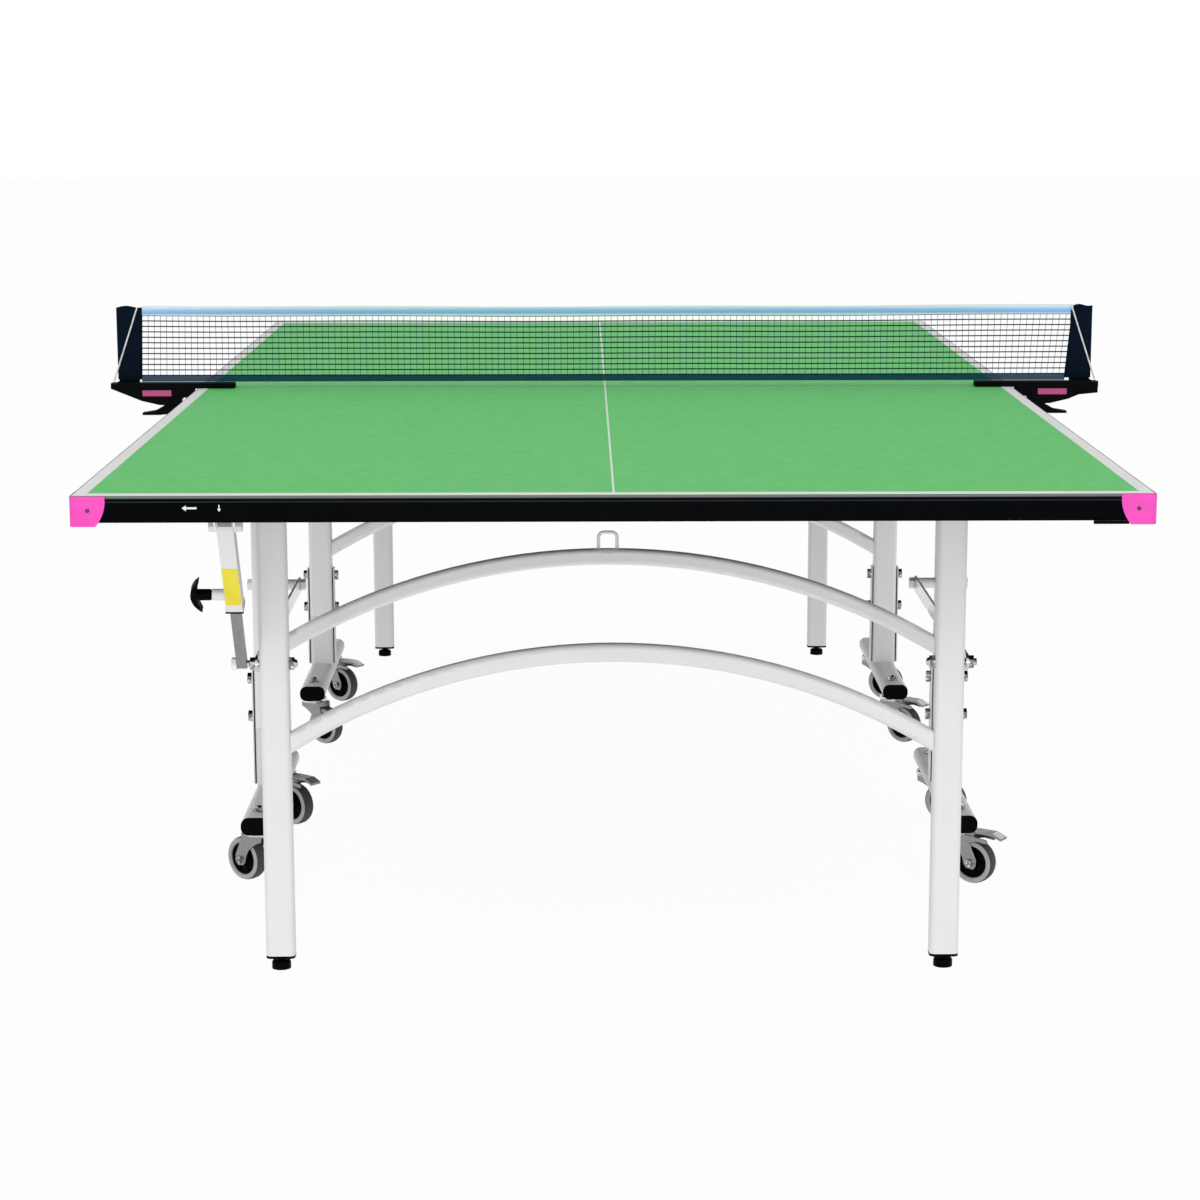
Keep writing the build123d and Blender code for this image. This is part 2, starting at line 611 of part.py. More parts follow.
def caster_fork(braked):
    """A pressed fork under its swivel crown, with the wheel's axle. Trails along +X."""
    crown_top = TEE_BOTTOM - RUNNING_GAP
    crown_bottom = crown_top - FORK_CROWN_HEIGHT
    bridge_bottom = crown_bottom - FORK_BRIDGE
    inside = WHEEL_WIDTH / 2 + FORK_SIDE_GAP
    outside = inside + FORK_PLATE
    fork = rod_z(0, 0, crown_bottom, crown_top, FORK_CROWN_RADIUS)
    fork += block((-FORK_BACK, FORK_FRONT), (-outside, outside), (bridge_bottom, crown_bottom))
    toe = TRAIL + FORK_EYE_RADIUS
    heel = TRAIL - FORK_EYE_RADIUS
    shoulder = bridge_bottom - FORK_BRIDGE
    middle = (shoulder + WHEEL_RADIUS) / 2
    with BuildSketch(Plane.XZ) as cheek:
        with BuildLine():
            Polyline((-FORK_BACK, shoulder), (-FORK_BACK, crown_bottom),
                     (FORK_FRONT, crown_bottom), (FORK_FRONT, shoulder))
            ThreePointArc((FORK_FRONT, shoulder), ((FORK_FRONT + toe) / 2 - FORK_WAIST, middle),
                          (toe, WHEEL_RADIUS))
            ThreePointArc((toe, WHEEL_RADIUS), (TRAIL, WHEEL_RADIUS - FORK_EYE_RADIUS),
                          (heel, WHEEL_RADIUS))
            ThreePointArc((heel, WHEEL_RADIUS), ((heel - FORK_BACK) / 2 + FORK_WAIST, middle + FORK_WAIST),
                          (-FORK_BACK, shoulder))
        make_face()
    plate = extrude(cheek.sketch, FORK_PLATE)
    fork += Pos(0, -inside, 0) * plate
    fork += Pos(0, outside, 0) * plate
    fork += rod_y(TRAIL, -outside - FORK_PLATE, outside + FORK_PLATE, WHEEL_RADIUS, AXLE_RADIUS)
    if braked:
        hinge_z = crown_bottom + PEDAL_BARREL_RADIUS + RUNNING_GAP
        ear_in = PEDAL_WIDTH / 2 + RUNNING_GAP
        ear_x = (FORK_FRONT - FORK_BRIDGE, PEDAL_HINGE_X + PEDAL_BARREL_RADIUS)
        for side in SIDES:
            y = mirrored(ear_in, ear_in + FORK_PLATE, side)
            fork += block(ear_x, y, (bridge_bottom, hinge_z + PEDAL_BARREL_RADIUS / 2))
        fork += rod_y(PEDAL_HINGE_X, -ear_in, ear_in, hinge_z, PEDAL_PIN_RADIUS)
    return fork - rod_z(0, 0, bridge_bottom, crown_top, HOLE_RADIUS)


def caster_wheel():
    """A tyred wheel with dished sides, on its axle."""
    half = WHEEL_WIDTH / 2
    dish = half - WHEEL_RECESS
    bore = AXLE_RADIUS + HOLE_CLEARANCE
    boss_foot = WHEEL_BOSS_RADIUS + WHEEL_FLARE
    hub_foot = WHEEL_HUB_RADIUS - WHEEL_FLARE
    with BuildSketch(Plane.XY) as profile:
        with BuildLine():
            Polyline((bore, -half), (WHEEL_BOSS_RADIUS, -half), (boss_foot, -dish),
                     (hub_foot, -dish), (WHEEL_HUB_RADIUS, -half),
                     (WHEEL_RADIUS - TYRE_RADIUS, -half))
            ThreePointArc((WHEEL_RADIUS - TYRE_RADIUS, -half), (WHEEL_RADIUS, 0),
                          (WHEEL_RADIUS - TYRE_RADIUS, half))
            Polyline((WHEEL_RADIUS - TYRE_RADIUS, half), (WHEEL_HUB_RADIUS, half),
                     (hub_foot, dish), (boss_foot, dish),
                     (WHEEL_BOSS_RADIUS, half), (bore, half), (bore, -half))
        make_face()
    return Pos(TRAIL, 0, WHEEL_RADIUS) * revolve(profile.sketch, Axis.Y)


def brake_pedal():
    """The foot pedal of a braked caster, hinged over its wheel."""
    hinge_z = TEE_BOTTOM - FORK_CROWN_HEIGHT + PEDAL_BARREL_RADIUS
    half = PEDAL_WIDTH / 2
    top = hinge_z + PEDAL_BARREL_RADIUS
    with BuildSketch(Plane.XZ) as outline:
        with BuildLine():
            Polyline((PEDAL_HINGE_X, top - PEDAL_THICKNESS), (PEDAL_HINGE_X, top), (PEDAL_BEND_X, top),
                     (PEDAL_REACH, top - PEDAL_TOE_DROP),
                     (PEDAL_REACH, top - PEDAL_TOE_DROP - PEDAL_THICKNESS),
                     (PEDAL_BEND_X, top - PEDAL_THICKNESS), (PEDAL_HINGE_X, top - PEDAL_THICKNESS))
        make_face()
    pedal = extrude(outline.sketch, half, both=True)
    pedal += rod_y(PEDAL_HINGE_X, -half, half, hinge_z, PEDAL_BARREL_RADIUS)
    return pedal - rod_y(PEDAL_HINGE_X, -half, half, hinge_z, PEDAL_PIN_RADIUS + HOLE_CLEARANCE)


def frame_wire(x, z, half_x, half_z):
    """A rectangle's outline on the back plane of the net."""
    y = NET_THICKNESS / 2
    return Wire.make_polygon([(x - half_x, y, z - half_z), (x + half_x, y, z - half_z),
                              (x + half_x, y, z + half_z), (x - half_x, y, z + half_z)])


def net_mesh():
    """The net as one holed sheet above a plain lower band."""
    low = PLAYING_HEIGHT + NET_LIFT
    high = PLAYING_HEIGHT + NET_HEIGHT - NET_TAPE_HEIGHT
    first = low + NET_BAND_HEIGHT
    pitch_x = 2 * NET_HALF_LENGTH / NET_COLUMNS
    pitch_z = (high - first) / NET_ROWS
    gap_x = (pitch_x - NET_STRAND) / 2
    gap_z = (pitch_z - NET_STRAND) / 2
    rim = frame_wire(0, (low + high) / 2, NET_HALF_LENGTH, (high - low) / 2)
    gaps = []
    for column in range(NET_COLUMNS):
        x = (column + 0.5) * pitch_x - NET_HALF_LENGTH
        for row in range(NET_ROWS):
            gaps.append(frame_wire(x, first + (row + 0.5) * pitch_z, gap_x, gap_z))
    return [extrude(Face(rim, gaps), NET_THICKNESS)]


def net_tape():
    half = NET_TAPE_THICKNESS / 2
    top = PLAYING_HEIGHT + NET_HEIGHT
    tape = block((-NET_HALF_LENGTH, NET_HALF_LENGTH), (-half, half), (top - NET_TAPE_HEIGHT, top))
    fold = tape.edges().filter_by(Axis.X).group_by(Axis.Z)[-1]
    return [fillet(fold, half / 2)]


def net_end_sleeves():
    """Cloth pockets at both ends of the net, over the net posts."""
    solids = []
    half = SLEEVE_POCKET_DEPTH / 2
    room = NET_POST_THICKNESS / 2 + 2 * RUNNING_GAP
    low = PLAYING_HEIGHT + CLAMP_BAR_HEIGHT + CLAMP_PLATE + SLEEVE_POCKET_GAP
    high = PLAYING_HEIGHT + NET_HEIGHT
    wall = (SLEEVE_POCKET_LENGTH - NET_POST_WIDTH) / 2 - 2 * RUNNING_GAP
    outer_x = NET_HALF_LENGTH + SLEEVE_POCKET_LENGTH
    for side in SIDES:
        pocket = block(mirrored(NET_HALF_LENGTH, outer_x, side), (-half, half), (low, high))
        inside = mirrored(NET_HALF_LENGTH + wall, outer_x - wall, side)
        solids.append(pocket - block(inside, (-room, room), (low, high)))
    return solids


def net_cords():
    """Taut cords from the ends of the tape down to the clamps' outer ends."""
    solids = []
    radius = NET_CORD_DIAMETER / 2
    y = -SLEEVE_POCKET_DEPTH / 2 - radius - RUNNING_GAP
    top = PLAYING_HEIGHT + NET_HEIGHT - radius
    seat = PLAYING_HEIGHT + CLAMP_BAR_HEIGHT + radius
    for side in SIDES:
        start = Vector(side * (NET_HALF_LENGTH + NET_CORD_DIAMETER), y, top)
        end = Vector(side * (CLAMP_OUTER_X - NET_CORD_DIAMETER), y, seat)
        cord = Solid.make_cylinder(radius, (end - start).length, Plane(start, z_dir=end - start))
        solids.append(Part(cord.wrapped))
    return solids


def net_clamp(side):
    """A pressed clamp over the table's edge, with the upright of the net."""
    front = -CLAMP_NET_GAP - CLAMP_WIDTH
    back = -CLAMP_NET_GAP
    top = PLAYING_HEIGHT + CLAMP_BAR_HEIGHT
    low = PLAYING_HEIGHT - CLAMP_CHEEK_DROP
    edge = HALF_WIDTH + CLAMP_EDGE_GAP
    outline = [(CLAMP_INNER_X, PLAYING_HEIGHT), (CLAMP_INNER_X, top), (CLAMP_OUTER_X, top),
               (CLAMP_OUTER_X, PLAYING_HEIGHT), (LEVER_TIP_X, PLAYING_HEIGHT - CLAMP_NOSE_DROP),
               (LEVER_TIP_X - CLAMP_CHEEK_DROP, low + CLAMP_HEEL_RISE), (edge, low), (edge, PLAYING_HEIGHT)]
    cheek = extrude(Plane.XZ * make_face(Polyline(*outline, close=True)), CLAMP_PLATE)
    clamp = Pos(0, front + CLAMP_PLATE, 0) * cheek
    clamp += Pos(0, back, 0) * cheek
    clamp += block((CLAMP_INNER_X, CLAMP_OUTER_X), (front, back), (top - CLAMP_PLATE, top))
    clamp += rod_y(LEVER_PIVOT_X, front - CLAMP_PLATE, back, LEVER_PIVOT_Z, AXLE_RADIUS)
    post_inner = NET_HALF_LENGTH + (SLEEVE_POCKET_LENGTH - NET_POST_WIDTH) / 2
    post_x = (post_inner, post_inner + NET_POST_WIDTH)
    half = NET_POST_THICKNESS / 2
    clamp += block(post_x, (front, half), (top, top + CLAMP_PLATE))
    post_top = PLAYING_HEIGHT + NET_HEIGHT - NET_POST_TOP_DROP
    clamp += block(post_x, (-half, half), (top, post_top))
    return [clamp if side > 0 else clamp.mirror(Plane.YZ)]


def clamp_lever(side):
    """The squeeze lever of a net clamp: a jaw under the apron and a beak outside."""
    front = -CLAMP_NET_GAP - CLAMP_WIDTH + CLAMP_PLATE + LEVER_SIDE_GAP
    back = -CLAMP_NET_GAP - CLAMP_PLATE - LEVER_SIDE_GAP
    jaw_top = APRON_BOTTOM - RUNNING_GAP
    jaw_low = jaw_top - LEVER_JAW_HEIGHT
    hub = 2 * AXLE_RADIUS
    outline = [(HALF_WIDTH - LEVER_JAW_REACH, jaw_low), (HALF_WIDTH - LEVER_JAW_REACH, jaw_top),
               (HALF_WIDTH + CLAMP_EDGE_GAP, jaw_top), (LEVER_PIVOT_X - hub, LEVER_PIVOT_Z + hub),
               (LEVER_PIVOT_X + hub, LEVER_PIVOT_Z + hub), (LEVER_TIP_X - 3 * hub, LEVER_TIP_Z + hub),
               (LEVER_TIP_X, LEVER_TIP_Z + hub / 2), (LEVER_TIP_X, LEVER_TIP_Z),
               (LEVER_TIP_X - 4 * hub, LEVER_TIP_Z), (LEVER_PIVOT_X + hub, jaw_low + hub / 2),
               (LEVER_PIVOT_X, jaw_low)]
    lever = extrude(Plane.XZ * make_face(Polyline(*outline, close=True)), back - front)
    lever = Pos(0, back, 0) * lever
    lever -= rod_y(LEVER_PIVOT_X, front, back, LEVER_PIVOT_Z, AXLE_RADIUS + HOLE_CLEARANCE)
    return [lever if side > 0 else lever.mirror(Plane.YZ)]


HALF_NODES = {
    "playing_surface": playing_surface,
    "apron_frame": apron_frame,
    "corner_guards": corner_guards,
    "leg_tubes": leg_tubes,
    "leg_arch": leg_arch,
    "leg_feet": leg_feet,
    "leg_bolts": leg_bolts,
    "leg_links": leg_links,
    "strut_sleeve": strut_sleeve,
    "strut_bar": strut_bar,
    "lock_knob": lock_knob,
    "post_tubes": post_tubes,
    "post_arch": post_arch,
    "caster_tees": caster_tees,
    "tube_caps": tube_caps,
    "frame_bolts": frame_bolts,
}


def write(node, solids):
    """Writes one node's solids to its file."""
    children = []
    for shape in solids:
        children += shape.solids()
    export_step(Compound(children=children), os.path.join("parts", node + ".step"))


def write_halves():
    for name, make in HALF_NODES.items():
        solids = make()
        write("front_" + name, solids)
        write("rear_" + name, [shape.rotate(Axis.Z, 180) for shape in solids])


def write_casters():
    wheel = caster_wheel()
    pedal = brake_pedal()
    forks = {braked: caster_fork(braked) for braked in (False, True)}
    for name, angle in TRAIL_ANGLE.items():
        half, side, place = name.split("_")
        x = POST_X if side == "right" else -POST_X
        y = POST_Y + CASTER_Y if place == "outer" else POST_Y - CASTER_Y
        stem = Pos(x, y if half == "rear" else -y, 0) * Rot(0, 0, angle)
        write(name + "_fork", [stem * forks[name in BRAKED]])
        write(name + "_wheel", [stem * wheel])
        if name in BRAKED:
            write(name + "_pedal", [stem * pedal])


def write_net():
    write("net_mesh", net_mesh())
    write("net_tape", net_tape())
    write("net_end_sleeves", net_end_sleeves())
    write("net_cords", net_cords())
    for name, side in (("left", -1), ("right", 1)):
        write(name + "_net_clamp", net_clamp(side))
        write(name + "_clamp_lever", clamp_lever(side))


def main():
    os.makedirs("parts", exist_ok=True)
    write_halves()
    write_casters()
    write_net()


main()
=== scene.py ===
"""The looks of a rollaway table tennis table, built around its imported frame. Metres."""
import json
import math

import bpy
from mathutils import Matrix, Vector


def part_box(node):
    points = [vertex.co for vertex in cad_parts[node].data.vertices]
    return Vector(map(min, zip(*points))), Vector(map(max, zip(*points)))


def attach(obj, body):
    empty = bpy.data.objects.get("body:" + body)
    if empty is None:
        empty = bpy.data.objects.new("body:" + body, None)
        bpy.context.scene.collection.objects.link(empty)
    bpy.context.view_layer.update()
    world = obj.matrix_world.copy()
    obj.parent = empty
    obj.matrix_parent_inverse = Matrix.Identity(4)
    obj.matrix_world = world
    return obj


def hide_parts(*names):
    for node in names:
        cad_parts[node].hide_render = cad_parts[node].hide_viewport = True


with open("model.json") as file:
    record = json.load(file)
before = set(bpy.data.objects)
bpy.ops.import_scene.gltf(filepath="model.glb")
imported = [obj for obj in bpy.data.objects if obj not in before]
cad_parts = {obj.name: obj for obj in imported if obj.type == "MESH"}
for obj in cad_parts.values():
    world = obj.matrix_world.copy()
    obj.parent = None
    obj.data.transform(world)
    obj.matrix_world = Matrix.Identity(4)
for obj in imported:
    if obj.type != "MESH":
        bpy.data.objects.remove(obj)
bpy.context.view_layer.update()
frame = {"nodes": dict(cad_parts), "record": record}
NODES = frame["nodes"]
JOINTS = {joint["name"]: joint for joint in frame["record"]["behaviour"]["joints"]}
HALVES = ("front", "rear")
NET_LOW, NET_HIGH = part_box("net_mesh")
# Thickness of painted lines and marks
PAINT = 0.0003

# Camera, fitted to the table's corners and feet in the photograph
CAMERA_PLACE = (-0.0475, -5.2670, 1.3479)
CAMERA_YAW = 0.409
CAMERA_PITCH = 10.732
CAMERA_ROLL = -0.081
FOCAL_PIXELS = 2804.6
IMAGE_PIXELS = 1200.0
SENSOR_WIDTH = 36.0

# Light
WORLD_LIGHT = 0.56
BACKDROP_WHITE = 1.0
FLOOR_GLOW = 0.965
# Share of glow in the floor where the table sees it: the floor glows like a lamp under the table
FLOOR_LAMP_GLOW = 0.55
FLOOR_HALF = 30.0
# Name, place, target, size and power of each lamp
LAMPS = [
    ("key", (-3.5, -5.0, 5.5), (0, 0, 0.5), 4.0, 75.0),
    ("fill", (3.5, -5.0, 5.5), (0, 0, 0.5), 4.0, 75.0),
    ("front", (0.0, -9.0, 0.42), (0, 0, 0.45), 2.4, 140.0),
]

# Colours, linear
FLOOR_WHITE = (0.93, 0.93, 0.93)
GREEN = (0.119, 0.600, 0.151)
LINE_WHITE = (0.84, 0.85, 0.83)
EDGE_GREY = (0.165, 0.175, 0.175)
APRON_BLACK = (0.0008, 0.0011, 0.0018)
# Painted highlight along the apron's rounded upper edge
APRON_HIGHLIGHT = (0.026, 0.031, 0.036)
TUBE_WHITE = (0.82, 0.82, 0.825)
# A brighter copy of the tubes' white, painted light for the posts standing in shade under the table
POST_WHITE_BRIGHTENED = (0.93, 0.93, 0.935)
GUARD_PINK = (0.94, 0.082, 0.53)
ZINC = (0.66, 0.66, 0.66)
STEEL = (0.30, 0.30, 0.305)
SCREW_STEEL = (0.085, 0.075, 0.095)
PLASTIC_BLACK = (0.0010, 0.0010, 0.0014)
TYRE_GREY = (0.42, 0.43, 0.43)
# The tread is a darker rubber, darkened further with painted shade
TREAD_DARK_AND_SHADE_GREY = (0.060, 0.062, 0.064)
# Painted shade along the seam between post and stub
SEAM_SHADE_GREY = (0.30, 0.30, 0.30)
RIM_GREY = (0.04, 0.04, 0.04)
NET_NAVY = (0.0028, 0.0078, 0.0185)
THREAD_BLUE = (0.022, 0.060, 0.19)
BAND_BLUE = (0.003, 0.060, 0.120)
BRIGHT_ZINC = (0.86, 0.86, 0.87)
# The tape is white; its blues are painted shade below its lit fold
TAPE_TOP = (0.82, 0.92, 1.0)
TAPE_HALF_SHADE_BLUE = (0.38, 0.64, 1.0)
TAPE_SHADE_BLUE = (0.25, 0.52, 1.0)
CORD_WHITE = (0.86, 0.87, 0.88)
LABEL_YELLOW = (0.86, 0.73, 0.030)
PLATE_PINK = (0.46, 0.055, 0.20)


# Materials

def new_material(name, colour, roughness=0.5, metallic=0.0):
    """A material with one Principled shader, and its node tree's parts."""
    material = bpy.data.materials.new(name)
    material.use_nodes = True
    tree = material.node_tree
    shader = tree.nodes["Principled BSDF"]
    shader.inputs["Base Color"].default_value = (*colour, 1.0)
    shader.inputs["Roughness"].default_value = roughness
    shader.inputs["Metallic"].default_value = metallic
    return material, tree, shader


def object_coordinates(tree):
    return tree.nodes.new("ShaderNodeTexCoord").outputs["Object"]


def object_axis(tree, axis):
    """One coordinate of a place in object space."""
    split = tree.nodes.new("ShaderNodeSeparateXYZ")
    tree.links.new(object_coordinates(tree), split.inputs["Vector"])
    return split.outputs[axis]


def compute(tree, operation, *values):
    """A math node fed by sockets or plain numbers."""
    node = tree.nodes.new("ShaderNodeMath")
    node.operation = operation
    for value, socket in zip(values, node.inputs):
        if isinstance(value, float):
            socket.default_value = value
        else:
            tree.links.new(value, socket)
    return node.outputs[0]


def noise(tree, scale, detail=3.0, roughness=0.55, source=None):
    """A noise texture in object space. Scale is in waves per metre."""
    texture = tree.nodes.new("ShaderNodeTexNoise")
    texture.inputs["Scale"].default_value = scale
    texture.inputs["Detail"].default_value = detail
    texture.inputs["Roughness"].default_value = roughness
    tree.links.new(source or object_coordinates(tree), texture.inputs["Vector"])
    return texture.outputs["Fac"]


def ramp(tree, factor, stops):
    """A colour ramp through (position, colour) stops."""
    node = tree.nodes.new("ShaderNodeValToRGB")
    elements = node.color_ramp.elements
    for element, (position, colour) in zip(elements, stops):
        element.position = position
        element.color = (*colour, 1.0)
    for position, colour in stops[2:]:
        element = elements.new(position)
        element.color = (*colour, 1.0)
    tree.links.new(factor, node.inputs["Fac"])
    return node.outputs["Color"]


def remap(tree, value, low, high, out_low, out_high):
    """Maps a value from one range to another."""
    node = tree.nodes.new("ShaderNodeMapRange")
    node.inputs["From Min"].default_value = low
    node.inputs["From Max"].default_value = high
    node.inputs["To Min"].default_value = out_low
    node.inputs["To Max"].default_value = out_high
    tree.links.new(value, node.inputs["Value"])
    return node.outputs["Result"]


def bump(tree, shader, height, distance, strength=1.0):
    """Raises a surface by a height texture."""
    node = tree.nodes.new("ShaderNodeBump")
    node.inputs["Distance"].default_value = distance
    node.inputs["Strength"].default_value = strength
    tree.links.new(height, node.inputs["Height"])
    tree.links.new(node.outputs["Normal"], shader.inputs["Normal"])


def mottled(tree, shader, colour, scale, spread):
    """Varies a base colour softly by noise."""
    dark = tuple(c * (1 - spread) for c in colour)
    light = tuple(min(c * (1 + spread), 1.0) for c in colour)
    drift = ramp(tree, noise(tree, scale), [(0.35, dark), (0.65, light)])
    tree.links.new(drift, shader.inputs["Base Color"])


def painted(name, colour, roughness, spread=0.03, peel=0.00004, specular=0.5):
    """Powder coat: faint colour drift, uneven gloss and orange peel."""
    material, tree, shader = new_material(name, colour, roughness)
    shader.inputs["Specular IOR Level"].default_value = specular
    mottled(tree, shader, colour, 9.0, spread)
    gloss = remap(tree, noise(tree, 40.0), 0.3, 0.7, roughness - 0.06, roughness + 0.08)
    tree.links.new(gloss, shader.inputs["Roughness"])
    bump(tree, shader, noise(tree, 900.0, 2.0), peel)
    return material


def plastic(name, colour, roughness, grain=0.00005, specular=0.5):
    """Moulded plastic with a fine grain."""
    material, tree, shader = new_material(name, colour, roughness)
    shader.inputs["Specular IOR Level"].default_value = specular
    mottled(tree, shader, colour, 30.0, 0.06)
    gloss = remap(tree, noise(tree, 120.0), 0.3, 0.7, roughness - 0.08, roughness + 0.10)
    tree.links.new(gloss, shader.inputs["Roughness"])
    bump(tree, shader, noise(tree, 1600.0, 2.0), grain)
    return material


def plated(name, colour, smooth, rough, shade=0.86, edge=0.9):
    """Plated steel: spangle and fine drawn marks. At the default shade the spangle is soft; a low shade,
    as on the bolts, turns its dark cells into painted reflections.
    """
    material, tree, shader = new_material(name, colour, smooth, 1.0)
    cells = tree.nodes.new("ShaderNodeTexVoronoi")
    cells.inputs["Scale"].default_value = 180.0
    tree.links.new(object_coordinates(tree), cells.inputs["Vector"])
    dark = tuple(c * shade for c in colour)
    spangle = ramp(tree, cells.outputs["Distance"], [(0.1, colour), (edge, dark)])
    tree.links.new(spangle, shader.inputs["Base Color"])
    tree.links.new(remap(tree, noise(tree, 70.0), 0.3, 0.7, smooth, rough), shader.inputs["Roughness"])
    bump(tree, shader, noise(tree, 600.0), 0.00003)
    return material


EDGE_BAND = 0.0038
EDGE_FADE = 0.0008
COAT_DEPTH = 0.0004
GREEN_DRIFT = 0.018


def board_paint():
    """Green coated board whose cut edge is bare grey."""
    material, tree, shader = new_material("board_green", GREEN, 0.55)
    shader.inputs["Specular IOR Level"].default_value = 0.12
    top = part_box("front_playing_surface")[1][2]
    height = object_axis(tree, "Z")
    dark = tuple(c * (1 - GREEN_DRIFT) for c in GREEN)
    light = tuple(c * (1 + GREEN_DRIFT) for c in GREEN)
    green = ramp(tree, noise(tree, 420.0, 4.0, 0.7), [(0.32, dark), (0.68, light)])
    rise = remap(tree, height, top - EDGE_BAND - EDGE_FADE, top - EDGE_BAND, 0.0, 1.0)
    mix = tree.nodes.new("ShaderNodeMix")
    mix.data_type = "RGBA"
    tree.links.new(compute(tree, "GREATER_THAN", height, top - COAT_DEPTH), mix.inputs["Factor"])
    tree.links.new(ramp(tree, rise, [(0.0, APRON_BLACK), (1.0, EDGE_GREY)]), mix.inputs["A"])
    tree.links.new(green, mix.inputs["B"])
    tree.links.new(mix.outputs["Result"], shader.inputs["Base Color"])
    tree.links.new(remap(tree, noise(tree, 60.0), 0.3, 0.7, 0.48, 0.62), shader.inputs["Roughness"])
    bump(tree, shader, noise(tree, 1400.0, 2.0), 0.00003)
    return material


# Where the apron's painted highlight line sits below its top, and its half height
HIGHLIGHT_DROP = 0.0031
HIGHLIGHT_HEIGHT = 0.0013


def apron_paint():
    """Black powder coat, with a painted highlight line below the apron's upper edge, where its rounded
    edge catches the light.
    """
    material = painted("apron_black", APRON_BLACK, 0.42, 0.10, specular=0.02)
    tree = material.node_tree
    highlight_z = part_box("front_apron_frame")[1][2] - HIGHLIGHT_DROP
    rise = remap(tree, object_axis(tree, "Z"), highlight_z - HIGHLIGHT_HEIGHT, highlight_z + HIGHLIGHT_HEIGHT, 0.0, 1.0)
    stops = [(0.05, APRON_BLACK), (0.4, APRON_HIGHLIGHT), (0.6, APRON_HIGHLIGHT), (0.95, APRON_BLACK)]
    tree.links.new(ramp(tree, rise, stops), tree.nodes["Principled BSDF"].inputs["Base Color"])
    return material


def cloth(name, colour, roughness=0.85, threads=1500.0, depth=0.00012, specular=0.5, sheen=0.15):
    """A woven cloth: two crossed sets of threads."""
    material, tree, shader = new_material(name, colour, roughness)
    shader.inputs["Specular IOR Level"].default_value = specular
    shader.inputs["Sheen Weight"].default_value = sheen
    mottled(tree, shader, colour, 160.0, 0.18)
    turns = [compute(tree, "MULTIPLY", object_axis(tree, axis), threads * math.pi) for axis in ("X", "Z")]
    waves = [compute(tree, "SINE", turn) for turn in turns]
    bump(tree, shader, compute(tree, "MULTIPLY", *waves), depth)
    return material


BAND_COVER = 0.79


def band_cloth():
    """The net's close knitted foot band, which lets a little light through."""
    material = cloth("net_band_cloth", BAND_BLUE, 0.9, specular=0.05, sheen=0.0)
    material.node_tree.nodes["Principled BSDF"].inputs["Alpha"].default_value = BAND_COVER
    return material


def tape_cloth():
    """Woven tape with painted light: white along its top fold, lit from above, and along its hem, with
    painted blue shade between, deepest low down.
    """
    material = cloth("net_tape_cloth", TAPE_SHADE_BLUE, 0.8)
    tree = material.node_tree
    low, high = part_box("net_tape")
    rise = remap(tree, object_axis(tree, "Z"), low[2], high[2], 0.0, 1.0)
    # White hem, painted blue shade, then white again towards the lit fold
    stops = [(0.04, TAPE_TOP), (0.20, TAPE_SHADE_BLUE), (0.52, TAPE_HALF_SHADE_BLUE), (0.80, TAPE_TOP)]
    tree.links.new(ramp(tree, rise, stops), tree.nodes["Principled BSDF"].inputs["Base Color"])
    return material


def make_materials():
    """Every finish, by its short name."""
    return {
        "board": board_paint(),
        "line": painted("line_white", LINE_WHITE, 0.5, 0.02),
        "apron": apron_paint(),
        "tube": painted("tube_white", TUBE_WHITE, 0.42, 0.015, 0.00001),
        # post: the brightened white, painted light
        "post": painted("post_white_brightened", POST_WHITE_BRIGHTENED, 0.42, 0.015, 0.00001),
        "clamp": painted("clamp_black", APRON_BLACK, 0.48, 0.10, specular=0.04),
        "guard": plastic("guard_pink", GUARD_PINK, 0.38, specular=0.22),
        "black": plastic("plastic_black", PLASTIC_BLACK, 0.45, specular=0.03),
        "tyre": plastic("tyre_grey", TYRE_GREY, 0.65, 0.00015, specular=0.2),
        "tread": plastic("tread_dark_and_shaded", TREAD_DARK_AND_SHADE_GREY, 0.65, 0.00015, specular=0.2),
        "zinc": plated("zinc_plate", ZINC, 0.14, 0.30),
        "steel": plated("steel_plate", STEEL, 0.30, 0.48),
        "screw": plated("screw_steel", SCREW_STEEL, 0.30, 0.48),
        # seam: painted shade for the posts' seam lines
        "seam": painted("seam_shade_grey", SEAM_SHADE_GREY, 0.6, specular=0.1),
        "rim": painted("rim_grey", RIM_GREY, 0.6, specular=0.1),
        # bolt: deep dark and bright patches, painted reflections on the nuts and bolts
        "bolt": plated("bolt_zinc_painted_reflections", BRIGHT_ZINC, 0.08, 0.20, 0.22, 0.55),
        "bright": plated("race_zinc", BRIGHT_ZINC, 0.10, 0.22),
        "net": cloth("net_navy", NET_NAVY, specular=0.05, sheen=0.0),
        "thread": cloth("net_thread", THREAD_BLUE, specular=0.05, sheen=0.0),
        "band": band_cloth(),
        "tape": tape_cloth(),
        "cord": cloth("cord_white", CORD_WHITE, 0.75, 2500.0),
        "yellow": plastic("label_yellow", LABEL_YELLOW, 0.4, 0.00001),
        "pink_plate": plastic("plate_pink", PLATE_PINK, 0.4, 0.00001),
    }


MATERIALS = make_materials()

